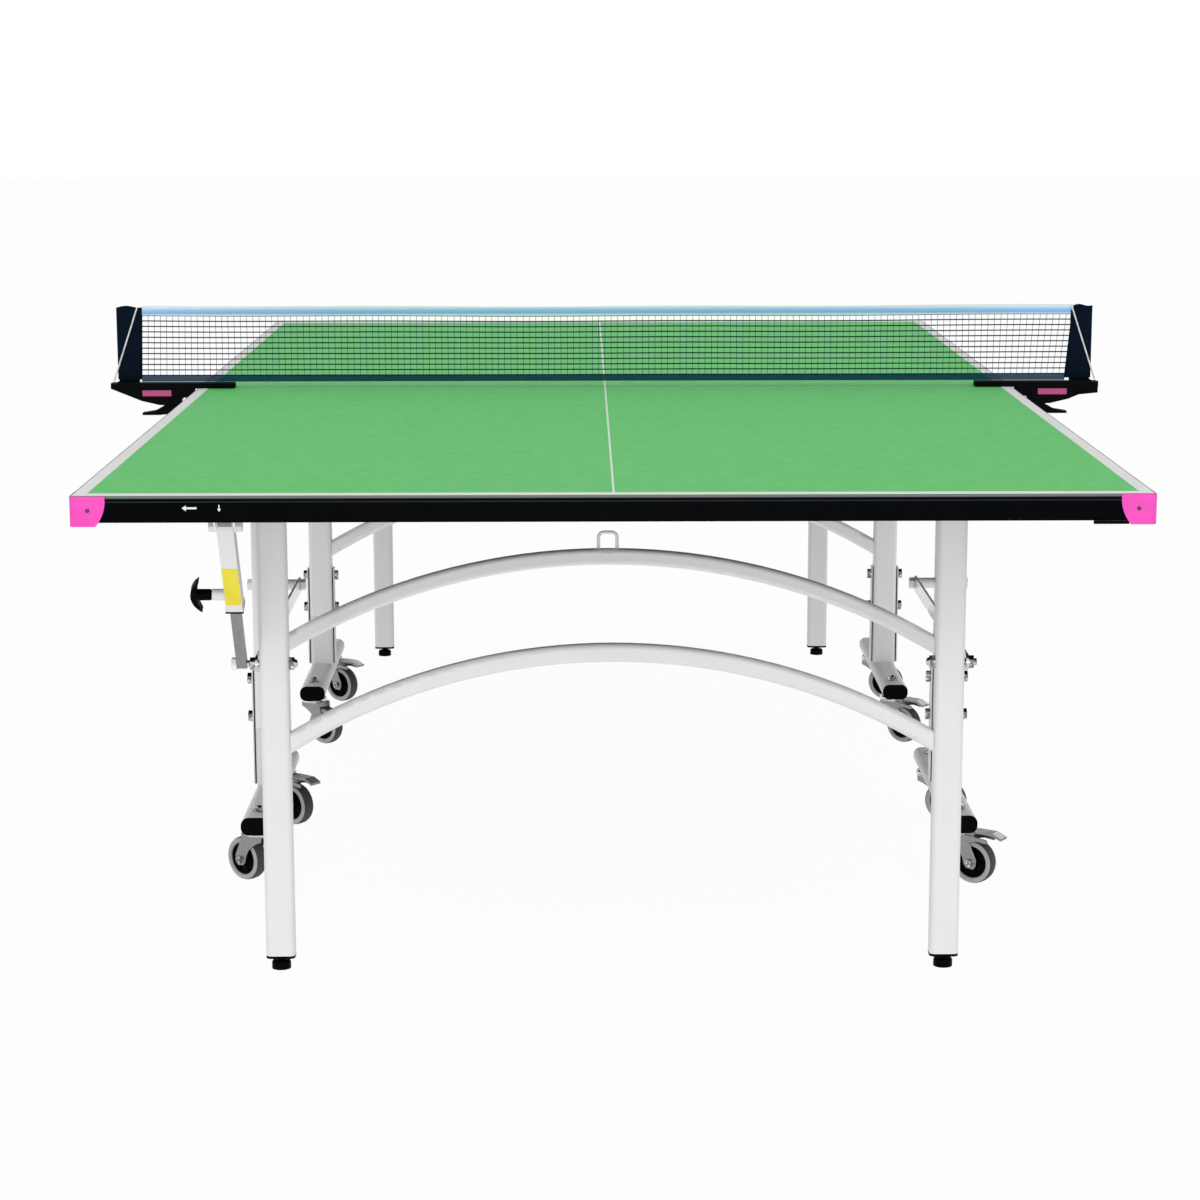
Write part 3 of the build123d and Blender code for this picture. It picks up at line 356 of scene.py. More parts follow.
# What each kind of CAD node is finished with
NODE_FINISH = {
    # The posts and their arch take the brightened white, which is painted light
    "playing_surface": "board", "apron_frame": "apron", "corner_guards": "guard", "leg_tubes": "tube",
    "leg_arch": "tube", "leg_feet": "black", "leg_bolts": "bolt", "leg_links": "zinc",
    "strut_sleeve": "tube", "strut_bar": "steel", "lock_knob": "black", "post_tubes": "post",
    "post_arch": "post", "caster_tees": "tube", "tube_caps": "black", "frame_bolts": "bolt",
    "fork": "steel", "wheel": "tyre", "pedal": "steel", "net_mesh": "net", "net_tape": "tape",
    "net_end_sleeves": "net", "net_cords": "cord", "net_clamp": "clamp", "clamp_lever": "clamp",
}


def finish_nodes():
    """Gives every CAD node its finish."""
    for name, node in NODES.items():
        kind = next(kind for kind in NODE_FINISH if name.endswith(kind))
        material = MATERIALS[NODE_FINISH[kind]]
        for slot in node.material_slots:
            slot.material = material


def paint_faces(name, finish, wanted):
    """Gives another finish to the faces of a CAD node that have a corner in the wanted place."""
    mesh = NODES[name].data
    mesh.materials.append(MATERIALS[finish])
    for face in mesh.polygons:
        if any(wanted(mesh.vertices[i].co) for i in face.vertices):
            face.material_index = len(mesh.materials) - 1


# The strut's brackets around its pin: upwards and all round
BRACKET_RISE = 0.0125
BRACKET_REACH = 0.030
LINK_BOLT_REACH = 0.013


def paint_fittings():
    """The posts' brightened white on the strut's brackets, the strut bar's nut and the bolts of the links.
    """
    for half in HALVES:
        turn = 1 if half == "front" else -1
        pivot = Vector(JOINTS[half + "_strut_swing"]["pos_m"])
        link_z = JOINTS[half + "_link_fold"]["pos_m"][2]
        low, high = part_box(half + "_strut_bar")
        bar_half = (high[0] - pivot.x) if half == "front" else (pivot.x - low[0])

        def on_bracket(place):
            return place.z < pivot.z + BRACKET_RISE and (place - pivot).length < BRACKET_REACH

        def on_bar_nut(place):
            return (place.x - pivot.x) * turn < -bar_half - PAINT

        def on_link_bolt(place):
            return abs(place.z - link_z) < LINK_BOLT_REACH

        paint_faces(half + "_apron_frame", "post", on_bracket)
        paint_faces(half + "_strut_bar", "post", on_bar_nut)
        paint_faces(half + "_frame_bolts", "post", on_link_bolt)


# Mesh helpers

def add_piece(name, vertices, faces, finish, body, slot, smooth=35.0):
    """A mesh piece that rides on a body. Edges sharper than smooth degrees stay crisp."""
    mesh = bpy.data.meshes.new(name)
    mesh.from_pydata([tuple(v) for v in vertices], [], faces)
    mesh.update()
    mesh.shade_smooth()
    mesh.set_sharp_from_angle(angle=math.radians(smooth))
    piece = bpy.data.objects.new(name, mesh)
    bpy.context.scene.collection.objects.link(piece)
    mesh.materials.append(MATERIALS[finish])
    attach(piece, body)
    return piece


def join(parts):
    """Joins (vertices, faces) pairs into one."""
    vertices = []
    faces = []
    for part_vertices, part_faces in parts:
        start = len(vertices)
        vertices += [Vector(v) for v in part_vertices]
        faces += [tuple(i + start for i in face) for face in part_faces]
    return vertices, faces


def side_axes(axis):
    """Two unit vectors square to an axis."""
    axis = Vector(axis).normalized()
    helper = Vector((0, 0, 1)) if abs(axis.z) < 0.9 else Vector((1, 0, 0))
    first = axis.cross(helper).normalized()
    return first, axis.cross(first)


def mirrored(half, middle=()):
    """A closed profile, the same on both sides of its middle plane."""
    return [*half, *middle, *((radius, -along) for radius, along in reversed(half)), half[0]]


def lathe(profile, origin, axis, steps=32):
    """Turns (radius, distance along axis) points. Ends on the axis are closed by a fan."""
    origin = Vector(origin)
    axis = Vector(axis).normalized()
    first, second = side_axes(axis)
    vertices = []
    rings = []
    for radius, along in profile:
        centre = origin + axis * along
        if radius < 1e-7:
            rings.append([len(vertices)])
            vertices.append(centre)
            continue
        ring = []
        for step in range(steps):
            angle = 2 * math.pi * step / steps
            ring.append(len(vertices))
            vertices.append(centre + (first * math.cos(angle) + second * math.sin(angle)) * radius)
        rings.append(ring)
    faces = []
    for low, high in zip(rings, rings[1:]):
        for step in range(steps):
            after = (step + 1) % steps
            if len(low) == 1 and len(high) == 1:
                continue
            if len(low) == 1:
                faces.append((low[0], high[after], high[step]))
            elif len(high) == 1:
                faces.append((low[step], low[after], high[0]))
            else:
                faces.append((low[step], low[after], high[after], high[step]))
    return vertices, faces


def slab(outline, origin, across, up, depth):
    """A flat plate: an outline in the across and up directions, thickened by depth along their normal."""
    origin = Vector(origin)
    across = Vector(across).normalized()
    up = Vector(up).normalized()
    normal = across.cross(up)
    count = len(outline)
    back = [origin + across * a + up * b for a, b in outline]
    vertices = back + [v + normal * depth for v in back]
    faces = [tuple(reversed(range(count))), tuple(range(count, 2 * count))]
    for i in range(count):
        j = (i + 1) % count
        faces.append((i, j, count + j, count + i))
    return vertices, faces


def box_slab(low, high):
    """A plain box between two corners."""
    size = Vector(high) - Vector(low)
    outline = [(0, 0), (size.x, 0), (size.x, size.z), (0, size.z)]
    return slab(outline, (low[0], high[1], low[2]), (1, 0, 0), (0, 0, 1), size.y)


def softened(piece, width, segments=2):
    """Rounds a piece's edges with a bevel."""
    bevel = piece.modifiers.new("edges", "BEVEL")
    bevel.width = width
    bevel.segments = segments
    bevel.limit_method = "ANGLE"
    return piece


# Playing lines and marks

SIDE_LINE = 0.020
CENTRE_LINE = 0.003
RIM = 0.0014


def playing_lines():
    """Painted side, end and centre lines of each half."""
    for half in HALVES:
        low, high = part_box(half + "_playing_surface")
        top = high[2]
        end = low[1] if half == "front" else high[1] - SIDE_LINE
        inner = (low[1] + SIDE_LINE, high[1]) if half == "front" else (low[1], high[1] - SIDE_LINE)
        strips = [((low[0] + RIM, end), (high[0] - RIM, end + SIDE_LINE)),
                  ((low[0] + RIM, inner[0]), (low[0] + SIDE_LINE, inner[1])),
                  ((high[0] - SIDE_LINE, inner[0]), (high[0] - RIM, inner[1])),
                  ((-CENTRE_LINE / 2, inner[0]), (CENTRE_LINE / 2, inner[1]))]
        parts = [box_slab((*a, top), (*b, top + PAINT)) for a, b in strips]
        add_piece(half + "_lines", *join(parts), "line", half + "_top", "green_board")
        rims = [((low[0], low[1]), (low[0] + RIM, high[1])), ((high[0] - RIM, low[1]), (high[0], high[1]))]
        parts = [box_slab((*a, top), (*b, top + PAINT)) for a, b in rims]
        add_piece(half + "_rims", *join(parts), "rim", half + "_top", "green_board")


# Casters

CASTERS = [name[:-5] for name in NODES if name.endswith("_fork")]
# Turned profiles: radius, distance along the axis
TYRE_PROFILE = mirrored([(0.0270, -0.0100), (0.0285, -0.0122), (0.0325, -0.0125), (0.0355, -0.0108),
                         (0.0370, -0.0070)], [(0.0375, 0.0)])
HUB_PROFILE = mirrored([(0.0043, -0.0115), (0.0105, -0.0115), (0.0120, -0.0085), (0.0225, -0.0080),
                        (0.0240, -0.0098), (0.0269, -0.0100)])
TREAD_START = 0.0350
HUB_RIBS = 6
HUB_RIB = [(0.011, -0.0010), (0.0235, -0.0014), (0.0235, 0.0014), (0.011, 0.0010)]
HUB_RIB_FACE = 0.0095
HUB_RIB_DEPTH = 0.002


def wheel_pieces(name):
    """The tyre and the ribbed hub of one caster."""
    joint = JOINTS[name + "_roll"]
    centre = Vector(joint["pos_m"])
    axle = Vector(joint["axis"])
    body = name + "_roller"
    tyre = add_piece(name + "_tyre", *lathe(TYRE_PROFILE, centre, axle, 48), "tyre", body, "tyre_rubber")
    # Faces far from the axle take the tread's colour: darker rubber plus painted shade
    tyre.data.materials.append(MATERIALS["tread"])
    for face in tyre.data.polygons:
        nearest = min((tyre.data.vertices[i].co - centre).cross(axle).length for i in face.vertices)
        face.material_index = 1 if nearest > TREAD_START else 0
    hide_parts(name + "_wheel")
    first, second = side_axes(axle)
    parts = [lathe(HUB_PROFILE, centre, axle, 40)]
    for rib in range(HUB_RIBS):
        angle = 2 * math.pi * rib / HUB_RIBS
        out = first * math.cos(angle) + second * math.sin(angle)
        across = axle.cross(out)
        for face in (-1, 1):
            origin = centre + axle * (face * HUB_RIB_FACE - HUB_RIB_DEPTH / 2)
            parts.append(slab(HUB_RIB, origin, out, across, HUB_RIB_DEPTH))
    add_piece(name + "_hub", *join(parts), "black", body, "black_plastic")


RACE_PROFILE = [(0.0215, -0.0085), (0.0258, -0.0080), (0.0266, -0.0066), (0.0258, -0.0053),
                (0.0246, -0.0048), (0.0246, -0.0042), (0.0256, -0.0036), (0.0258, -0.0020),
                (0.0244, -0.0006), (0.0215, -0.0006), (0.0215, -0.0085)]
AXLE_NUT_START = 0.0167
AXLE_NUT = [(0.0, 0.0064), (0.0036, 0.0062), (0.0064, 0.0046), (0.0074, 0.0), (0.0, 0.0)]
# Cheek outlines: along the trail, above the floor
CHEEK = [(-0.0200, 0.0847), (-0.0200, 0.0745), (-0.0100, 0.0705), (0.0005, 0.0640), (0.0095, 0.0560),
         (0.0155, 0.0460), (0.0190, 0.0340), (0.0235, 0.0280), (0.0365, 0.0265), (0.0412, 0.0330),
         (0.0415, 0.0440), (0.0270, 0.0745), (0.0265, 0.0847)]
BRAKE_ARM = [(0.0255, 0.0847), (0.0255, 0.0690), (0.0320, 0.0738), (0.0420, 0.0758), (0.0580, 0.0740),
             (0.0625, 0.0765), (0.0600, 0.0812)]
CHEEK_MIDDLE = 0.01552
CHEEK_DEPTH = 0.00245
CHEEK_ROUND = 0.0007
TOE_START = (0.068, 0.0920)
TOE_END = (0.084, 0.0850)
TOE_RIBS = 5
TOE_RIB = [(-0.0008, -0.0105), (0.0008, -0.0105), (0.0008, 0.0105), (-0.0008, 0.0105)]
TOE_RIB_DEPTH = 0.0008


def fork_pieces(name):
    """The ball race over a fork, its pressed cheeks and the axle's nuts."""
    swivel = Vector(JOINTS[name + "_swivel"]["pos_m"])
    roll = JOINTS[name + "_roll"]
    centre = Vector(roll["pos_m"])
    axle = Vector(roll["axis"])
    body = name + "_swivel"
    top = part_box(name + "_fork")[1][2]
    race = lathe(RACE_PROFILE, (swivel.x, swivel.y, top), (0, 0, 1), 40)
    add_piece(name + "_race", *race, "bright", body, "zinc_steel")
    nuts = [lathe(AXLE_NUT, centre + axle * (face * AXLE_NUT_START), axle * face, 6) for face in (-1, 1)]
    add_piece(name + "_axle_nuts", *join(nuts), "bolt", body, "zinc_steel")
    trail = Vector((centre.x - swivel.x, centre.y - swivel.y, 0)).normalized()
    normal = trail.cross(Vector((0, 0, 1)))
    outlines = [CHEEK, BRAKE_ARM] if name + "_pedal" in NODES else [CHEEK]
    cheeks = []
    for face in (-1, 1):
        origin = Vector((swivel.x, swivel.y, 0)) + normal * (face * CHEEK_MIDDLE - CHEEK_DEPTH / 2)
        cheeks += [slab(outline, origin, trail, (0, 0, 1), CHEEK_DEPTH) for outline in outlines]
    piece = add_piece(name + "_cheeks", *join(cheeks), "steel", body, "zinc_steel")
    softened(piece, CHEEK_ROUND)


def pedal_ribs(name):
    """Raised ribs across a brake pedal's toe."""
    swivel = Vector(JOINTS[name + "_swivel"]["pos_m"])
    centre = Vector(JOINTS[name + "_roll"]["pos_m"])
    trail = Vector((centre.x - swivel.x, centre.y - swivel.y, 0)).normalized()
    floor = Vector((swivel.x, swivel.y, 0))
    start = floor + trail * TOE_START[0] + Vector((0, 0, TOE_START[1]))
    end = floor + trail * TOE_END[0] + Vector((0, 0, TOE_END[1]))
    slope = (end - start).normalized()
    across = Vector((0, 0, 1)).cross(trail)
    places = [start.lerp(end, (rib + 0.5) / TOE_RIBS) for rib in range(TOE_RIBS)]
    ribs = [slab(TOE_RIB, place, slope, across, TOE_RIB_DEPTH) for place in places]
    add_piece(name + "_pedal_ribs", *join(ribs), "bright", name + "_brake", "zinc_steel")


# Net

NET_PITCH_X = 0.0118
NET_PITCH_Z = 0.0102
ROW_RADIUS = 0.00108
COLUMN_RADIUS = 0.00044
KNOT_RADIUS = 0.00125
# Size of the net's sway out of its plane, in Y
NET_WAVE = 0.0016
# Share of each wave in the net, its turns along X, its phase and its turns along Z
NET_WAVES = [(1.0, 7.3, 0.8, 0.0), (0.6, 17.0, 2.1, 12.0)]
NET_SAG = 0.0022
TAPE_RIPPLE = 0.0006
RIPPLE_TURN = 11.0
BAND_HEIGHT = 0.012
BAND_THICKNESS = 0.0022
TAPE_THICKNESS = 0.0042
# Offsets of the pockets' inner edges at foot and top, left and right
POCKET_EDGE = {-1: (-0.001, -0.005), 1: (-0.006, 0.007)}
NET_STEADY = 0.70
# Angles up to which a cloth piece is shaded as round
NET_SMOOTH = 80.0
CLOTH_SMOOTH = 60.0
# Share of its full thickness that a cloth piece keeps at its edges
CLOTH_EDGE = 0.35


def net_sway(x, z):
    """How far the hanging net stands out of its plane, in Y."""
    share = min(max((z - NET_LOW[2]) / (NET_HIGH[2] - NET_LOW[2]), 0.0), 1.0)
    waves = sum(part * math.sin(along * x + phase + up * z) for part, along, phase, up in NET_WAVES)
    return NET_WAVE * math.sin(math.pi * share) * waves


def net_droop(x):
    """How far the tape and the upper rows sag between the posts, in Z."""
    return -NET_SAG * (1 - (x / NET_HIGH[0]) ** 2) + TAPE_RIPPLE * math.sin(RIPPLE_TURN * x)


def pocket_edge(side, share):
    """Where an end pocket's inner edge runs, from the net's foot (0) to its top (1), as |X|."""
    foot, top = POCKET_EDGE[side]
    return NET_HIGH[0] + foot + (top - foot) * share


def net_point(x, z):
    """A place on the hanging net, from its flat X and Z."""
    share = (z - NET_LOW[2]) / (NET_HIGH[2] - NET_LOW[2])
    side = 1 if x > 0 else -1
    pull = max(0.0, abs(x) - NET_STEADY) / (NET_HIGH[0] - NET_STEADY)
    x += side * pull * (pocket_edge(side, share) - NET_HIGH[0])
    return Vector((x, net_sway(x, z), z + share * net_droop(x)))


def strand(points, radius):
    """A four-sided thread through points, closed at both ends."""
    vertices = []
    faces = []
    for i, point in enumerate(points):
        along = (points[min(i + 1, len(points) - 1)] - points[max(i - 1, 0)]).normalized()
        first, second = side_axes(along)
        for turn in range(4):
            angle = math.pi / 2 * turn
            vertices.append(point + (first * math.cos(angle) + second * math.sin(angle)) * radius)
    for i in range(len(points) - 1):
        for turn in range(4):
            a = 4 * i + turn
            b = 4 * i + (turn + 1) % 4
            faces.append((a, b, b + 4, a + 4))
    last = 4 * (len(points) - 1)
    faces.append((3, 2, 1, 0))
    faces.append((last, last + 1, last + 2, last + 3))
    return vertices, faces


def knot(point):
    """A small eight-faced knot."""
    offsets = [(1, 0, 0), (0, 1, 0), (-1, 0, 0), (0, -1, 0), (0, 0, 1), (0, 0, -1)]
    vertices = [point + Vector(offset) * KNOT_RADIUS for offset in offsets]
    faces = []
    for turn in range(4):
        after = (turn + 1) % 4
        faces.append((turn, after, 4))
        faces.append((after, turn, 5))
    return vertices, faces


def net_piece():
    """The knotted net, strand by strand."""
    low, high = NET_LOW, NET_HIGH
    first = low[2] + BAND_HEIGHT
    columns = round((high[0] - low[0]) / NET_PITCH_X)
    rows = round((high[2] - first) / NET_PITCH_Z)
    xs = [low[0] + (high[0] - low[0]) * i / columns for i in range(columns + 1)]
    zs = [first + (high[2] - first) * i / rows for i in range(rows + 1)]
    parts = [strand([net_point(x, z) for x in xs], ROW_RADIUS) for z in zs]
    parts += [strand([net_point(x, z) for z in zs], COLUMN_RADIUS) for x in xs]
    parts += [knot(net_point(x, z)) for x in xs for z in zs]
    vertices, faces = join(parts)
    net = add_piece("net", vertices, faces, "net", "front_top", "net_cloth", NET_SMOOTH)
    net.data.materials.append(MATERIALS["thread"])
    upright_start = sum(len(part[1]) for part in parts[:rows + 1])
    upright_end = sum(len(part[1]) for part in parts[:rows + columns + 2])
    for face in net.data.polygons[upright_start:upright_end]:
        face.material_index = 1
    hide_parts("net_mesh")


RIBBON_COLUMNS = 160
RIBBON_HEM = 0.04


def ribbon(name, box, finish, slot, thickness, rows):
    """A strip of cloth along X between two corners, closed, with soft waves."""
    low, high = box
    columns = RIBBON_COLUMNS
    vertices = []
    faces = []
    profile = [(-1, i / rows) for i in range(rows + 1)]
    profile += [(1, i / rows) for i in range(rows, -1, -1)]
    count = len(profile)
    for column in range(columns + 1):
        x = low[0] + (high[0] - low[0]) * column / columns
        for face, share in profile:
            z = low[2] + (high[2] - low[2]) * share
            swell = math.sin(math.pi * min(max(share, RIBBON_HEM), 1 - RIBBON_HEM))
            bulge = thickness / 2 * (CLOTH_EDGE + (1 - CLOTH_EDGE) * swell)
            point = net_point(x, z)
            vertices.append((point.x, point.y + face * bulge, point.z))
    for column in range(columns):
        for i in range(count):
            j = (i + 1) % count
            a = column * count
            faces.append((a + i, a + j, a + count + j, a + count + i))
    faces.append(tuple(reversed(range(count))))
    faces.append(tuple(range(columns * count, columns * count + count)))
    return add_piece(name, vertices, faces, finish, "front_top", slot, CLOTH_SMOOTH)


def net_bands():
    """The tape along the net's top and the band along its foot."""
    tape_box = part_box("net_tape")
    tape = ribbon("net_top_tape", tape_box, "tape", "tape_cloth", TAPE_THICKNESS, 6)
    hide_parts("net_tape")
    low, high = NET_LOW, NET_HIGH
    band_box = (low, (high[0], high[1], low[2] + BAND_HEIGHT))
    band = ribbon("net_foot_band", band_box, "band", "net_cloth", BAND_THICKNESS, 4)


SLEEVE_LOW, SLEEVE_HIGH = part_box("net_end_sleeves")
SLEEVE_COLUMNS = 10
SLEEVE_ROWS = 24
SLEEVE_LAP = 0.001
SLEEVE_SAG = 0.0018
SLEEVE_HALF = 0.0032
SLEEVE_PUFF = 0.0016


def sleeve_point(side, face, a, b):
    """A point of an end pocket: a runs outwards from its inner edge, b upwards from its foot."""
    low, high = SLEEVE_LOW, SLEEVE_HIGH
    inner = pocket_edge(side, b) - SLEEVE_LAP
    x = side * (inner + (high[0] - inner) * a)
    z = low[2] + (high[2] - low[2]) * b - SLEEVE_SAG * b ** 8 * (1 + math.cos(6.5 * a + side))
    puff = SLEEVE_HALF + SLEEVE_PUFF * math.sin(math.pi * a) * (0.7 + 0.3 * math.sin(9 * b + side))
    swell = min(1.0, 8 * a, 8 * (1 - a))
    return (x, face * puff * (CLOTH_EDGE + (1 - CLOTH_EDGE) * swell), z)


def sleeve(side):
    """One end pocket: a front and a back grid, joined along their four edges."""
    across = SLEEVE_COLUMNS + 1
    grid = across * (SLEEVE_ROWS + 1)
    vertices = [sleeve_point(side, face, column / SLEEVE_COLUMNS, row / SLEEVE_ROWS)
                for face in (-1, 1) for row in range(SLEEVE_ROWS + 1) for column in range(across)]
    faces = []

    def add_quad(quad, forward):
        faces.append(quad if forward == (side > 0) else tuple(reversed(quad)))

    for start in (0, grid):
        for row in range(SLEEVE_ROWS):
            for column in range(SLEEVE_COLUMNS):
                a = start + row * across + column
                add_quad((a, a + 1, a + across + 1, a + across), start == 0)
    for column in (0, SLEEVE_COLUMNS):
        for row in range(SLEEVE_ROWS):
            a = row * across + column
            add_quad((a, a + across, grid + a + across, grid + a), column == 0)
    for start in (0, SLEEVE_ROWS * across):
        for column in range(SLEEVE_COLUMNS):
            a = start + column
            add_quad((a, a + 1, grid + a + 1, grid + a), start != 0)
    return vertices, faces


def end_sleeves():
    """Cloth pockets over the net posts, a little fuller in the middle."""
    pockets = join([sleeve(side) for side in (-1, 1)])
    piece = add_piece("net_sleeves", *pockets, "net", "front_top", "net_cloth", CLOTH_SMOOTH)
    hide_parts("net_end_sleeves")


CORD_RADIUS = 0.0015


def net_cords():
    """The white tension cords, straight from the tape's ends to the clamps."""
    low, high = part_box("net_cords")
    start_x = NET_HIGH[0] + 2 * CORD_RADIUS
    y = (low[1] + high[1]) / 2
    for name, side in (("left", -1), ("right", 1)):
        start = Vector((side * start_x, y, high[2] - CORD_RADIUS))
        end = Vector((side * (high[0] - CORD_RADIUS), y, low[2] + CORD_RADIUS))
        curve = bpy.data.curves.new(name + "_net_cord", "CURVE")
        curve.dimensions = "3D"
        curve.bevel_depth = CORD_RADIUS
        curve.bevel_resolution = 3
        curve.use_fill_caps = True
        spline = curve.splines.new("NURBS")
        route = [start, start.lerp(end, 0.5), end]
        spline.points.add(len(route) - 1)
        for point, place in zip(spline.points, route):
            point.co = (*place, 1.0)
        spline.order_u = 3
        spline.use_endpoint_u = True
        cord = bpy.data.objects.new(name + "_net_cord", curve)
        bpy.context.scene.collection.objects.link(cord)
        curve.materials.append(MATERIALS["cord"])
        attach(cord, "front_top")
        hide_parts("net_cords")


# Small marks, labels and fasteners

ARROW = [(-0.0105, 0.0), (-0.0045, 0.0042), (-0.0045, 0.0014), (0.0105, 0.0014), (0.0105, -0.0014),
         (-0.0045, -0.0014), (-0.0045, -0.0042)]
DOWN_ARROW = [(-0.0028, -0.0010), (-0.0008, -0.0010), (-0.0008, 0.0045), (0.0008, 0.0045),
              (0.0008, -0.0010), (0.0028, -0.0010), (0.0, -0.0050)]
# How far the arrows stand beside the strut's pin and below the apron's top
ARROW_SIDE = 0.043
DOWN_ARROW_SIDE = 0.001
ARROW_DROP = 0.012


def apron_marks():
    """Plain arrows towards the lock handle, on the front apron."""
    low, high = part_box("front_apron_frame")
    pin_x = JOINTS["front_strut_swing"]["pos_m"][0]
    z = high[2] - ARROW_DROP
    marks = ((ARROW, pin_x - ARROW_SIDE), (DOWN_ARROW, pin_x - DOWN_ARROW_SIDE))
    parts = [slab(mark, (x, low[1], z), (1, 0, 0), (0, 0, 1), PAINT) for mark, x in marks]
    add_piece("front_apron_arrows", *join(parts), "line", "front_top", "apron_paint")


LIP_X = (0.676, 0.7262)
LIP_Z = (0.7165, 0.7212)
LIP_STAND = 0.0015
LIP_SINK = 0.0010


def apron_lip():
    """A short black lip under the front apron, beside its right guard."""
    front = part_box("front_apron_frame")[0][1]
    lip = box_slab((LIP_X[0], front - LIP_STAND, LIP_Z[0]), (LIP_X[1], front + LIP_SINK, LIP_Z[1]))
    add_piece("front_apron_lip", *lip, "clamp", "front_top", "apron_paint")


SCREW_HEAD = [(0.0, 0.0014), (0.0016, 0.0013), (0.0026, 0.0008), (0.0030, 0.0), (0.0, 0.0)]
SCREW_INSET = 0.026
SCREW_DROP = 0.020


def guard_screws():
    """A pan head screw in each face of every corner guard."""
    for half in HALVES:
        low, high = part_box(half + "_corner_guards")
        middle = high[2] - SCREW_DROP
        out = -1 if half == "front" else 1
        end = low[1] if half == "front" else high[1]
        parts = []
        for side in (-1, 1):
            edge = low[0] if side < 0 else high[0]
            parts.append(lathe(SCREW_HEAD, (edge - side * SCREW_INSET, end, middle), (0, out, 0), 20))
            parts.append(lathe(SCREW_HEAD, (edge, end - out * SCREW_INSET, middle), (side, 0, 0), 20))
        add_piece(half + "_guard_screws", *join(parts), "screw", half + "_top", "zinc_steel")


CLAMP_BOSS = 0.0025
CLAMP_CHEEK = 0.0025
CLAMP_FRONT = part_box("right_net_clamp")[0][1] + CLAMP_BOSS
CLAMP_BACK = -0.0040
# Outline of the right clamp's blunt outer end, in X and Z
CLAMP_TAIL = [(0.880, 0.7600), (0.880, 0.7446), (0.9245, 0.7490), (0.9245, 0.7600)]


def clamp_tail():
    """The blunt outer end of the right clamp's two cheeks."""
    starts = (CLAMP_FRONT + CLAMP_CHEEK, CLAMP_BACK)
    parts = [slab(CLAMP_TAIL, (0, start, 0), (1, 0, 0), (0, 0, 1), CLAMP_CHEEK) for start in starts]
    add_piece("right_clamp_tail", *join(parts), "clamp", "front_top", "clamp_paint")


CLAMP_PLATE = [(-0.027, -0.0055), (0.027, -0.0055), (0.027, 0.0055), (-0.027, 0.0055)]
CLAMP_PLATE_X = 0.839
CLAMP_PLATE_Z = 0.7515
CLAMP_PLATE_DEPTH = 0.0006
CLAMP_PLATE_ROUND = 0.0002
RIVET_HEAD = [(0.0, 0.0022), (0.0035, 0.0019), (0.0058, 0.0), (0.0, 0.0)]


def clamp_plates():
    """Plain pink plates and rivet heads on the net clamps."""
    for name, side in (("left", -1), ("right", 1)):
        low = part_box(name + "_net_clamp")[0]
        joint = JOINTS[name + "_clamp_squeeze"]["pos_m"]
        place = (side * CLAMP_PLATE_X, CLAMP_FRONT, CLAMP_PLATE_Z)
        plate = slab(CLAMP_PLATE, place, (1, 0, 0), (0, 0, 1), CLAMP_PLATE_DEPTH)
        piece = add_piece(name + "_clamp_plate", *plate, "pink_plate", "front_top", "clamp_paint")
        softened(piece, CLAMP_PLATE_ROUND, 1)
        rivet = lathe(RIVET_HEAD, (joint[0], low[1], joint[2]), (0, -1, 0), 20)
        add_piece(name + "_clamp_rivet", *rivet, "zinc", "front_top", "clamp_paint")


LABEL = [(-0.0115, -0.036), (0.0115, -0.036), (0.0115, 0.036), (-0.0115, 0.036)]
LABEL_ALONG = 0.1100
LABEL_OUT = 0.012
LABEL_DEPTH = 0.0005
SLEEVE_END = 0.1623
COLLAR_HALF = 0.0132
COLLAR_BORE = 0.0083
COLLAR_TALL = 0.0034
COLLAR_BAR = [(-COLLAR_HALF, COLLAR_BORE), (COLLAR_HALF, COLLAR_BORE), (COLLAR_HALF, COLLAR_HALF),
              (-COLLAR_HALF, COLLAR_HALF)]


def strut_label():
    """A plain yellow plate on each strut sleeve and a dark bush at its mouth."""
    for half in HALVES:
        turn = 1 if half == "front" else -1
        joint = JOINTS[half + "_strut_swing"]["pos_m"]
        along = Vector(JOINTS[half + "_strut_extend"]["axis"])
        across = Vector((turn, 0, 0))
        out = across.cross(-along)
        origin = Vector(joint) + along * LABEL_ALONG + out * LABEL_OUT
        label = slab(LABEL, origin, across, -along, LABEL_DEPTH)
        add_piece(half + "_strut_label", *label, "yellow", half + "_sleeve", "tube_paint")
        mouth = Vector(joint) + along * SLEEVE_END
        sides = ((across, out), (-across, -out), (out, -across), (-out, across))
        ring = [slab(COLLAR_BAR, mouth, beside, outward, COLLAR_TALL) for outward, beside in sides]
        add_piece(half + "_strut_collar", *join(ring), "black", half + "_sleeve", "tube_paint")


NECK_RADIUS = 0.0085
NECK_START = 0.009
NECK_LENGTH = 0.0215
NECK = [(0.0, 0.0), (0.0078, 0.0), (NECK_RADIUS, 0.0012), (NECK_RADIUS, NECK_LENGTH - 0.001),
        (NECK_RADIUS - 0.001, NECK_LENGTH), (0.0, NECK_LENGTH)]


def lock_necks():
    """The thick neck of each lock handle, between its grip and the sleeve's boss."""
    for half in HALVES:
        low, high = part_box(half + "_lock_knob")
        turn = 1 if half == "front" else -1
        grip = low[0] if half == "front" else high[0]
        origin = (grip + turn * NECK_START, (low[1] + high[1]) / 2, (low[2] + high[2]) / 2)
        neck = lathe(NECK, origin, (turn, 0, 0), 28)
        add_piece(half + "_lock_neck", *neck, "black", half + "_knob", "black_plastic")


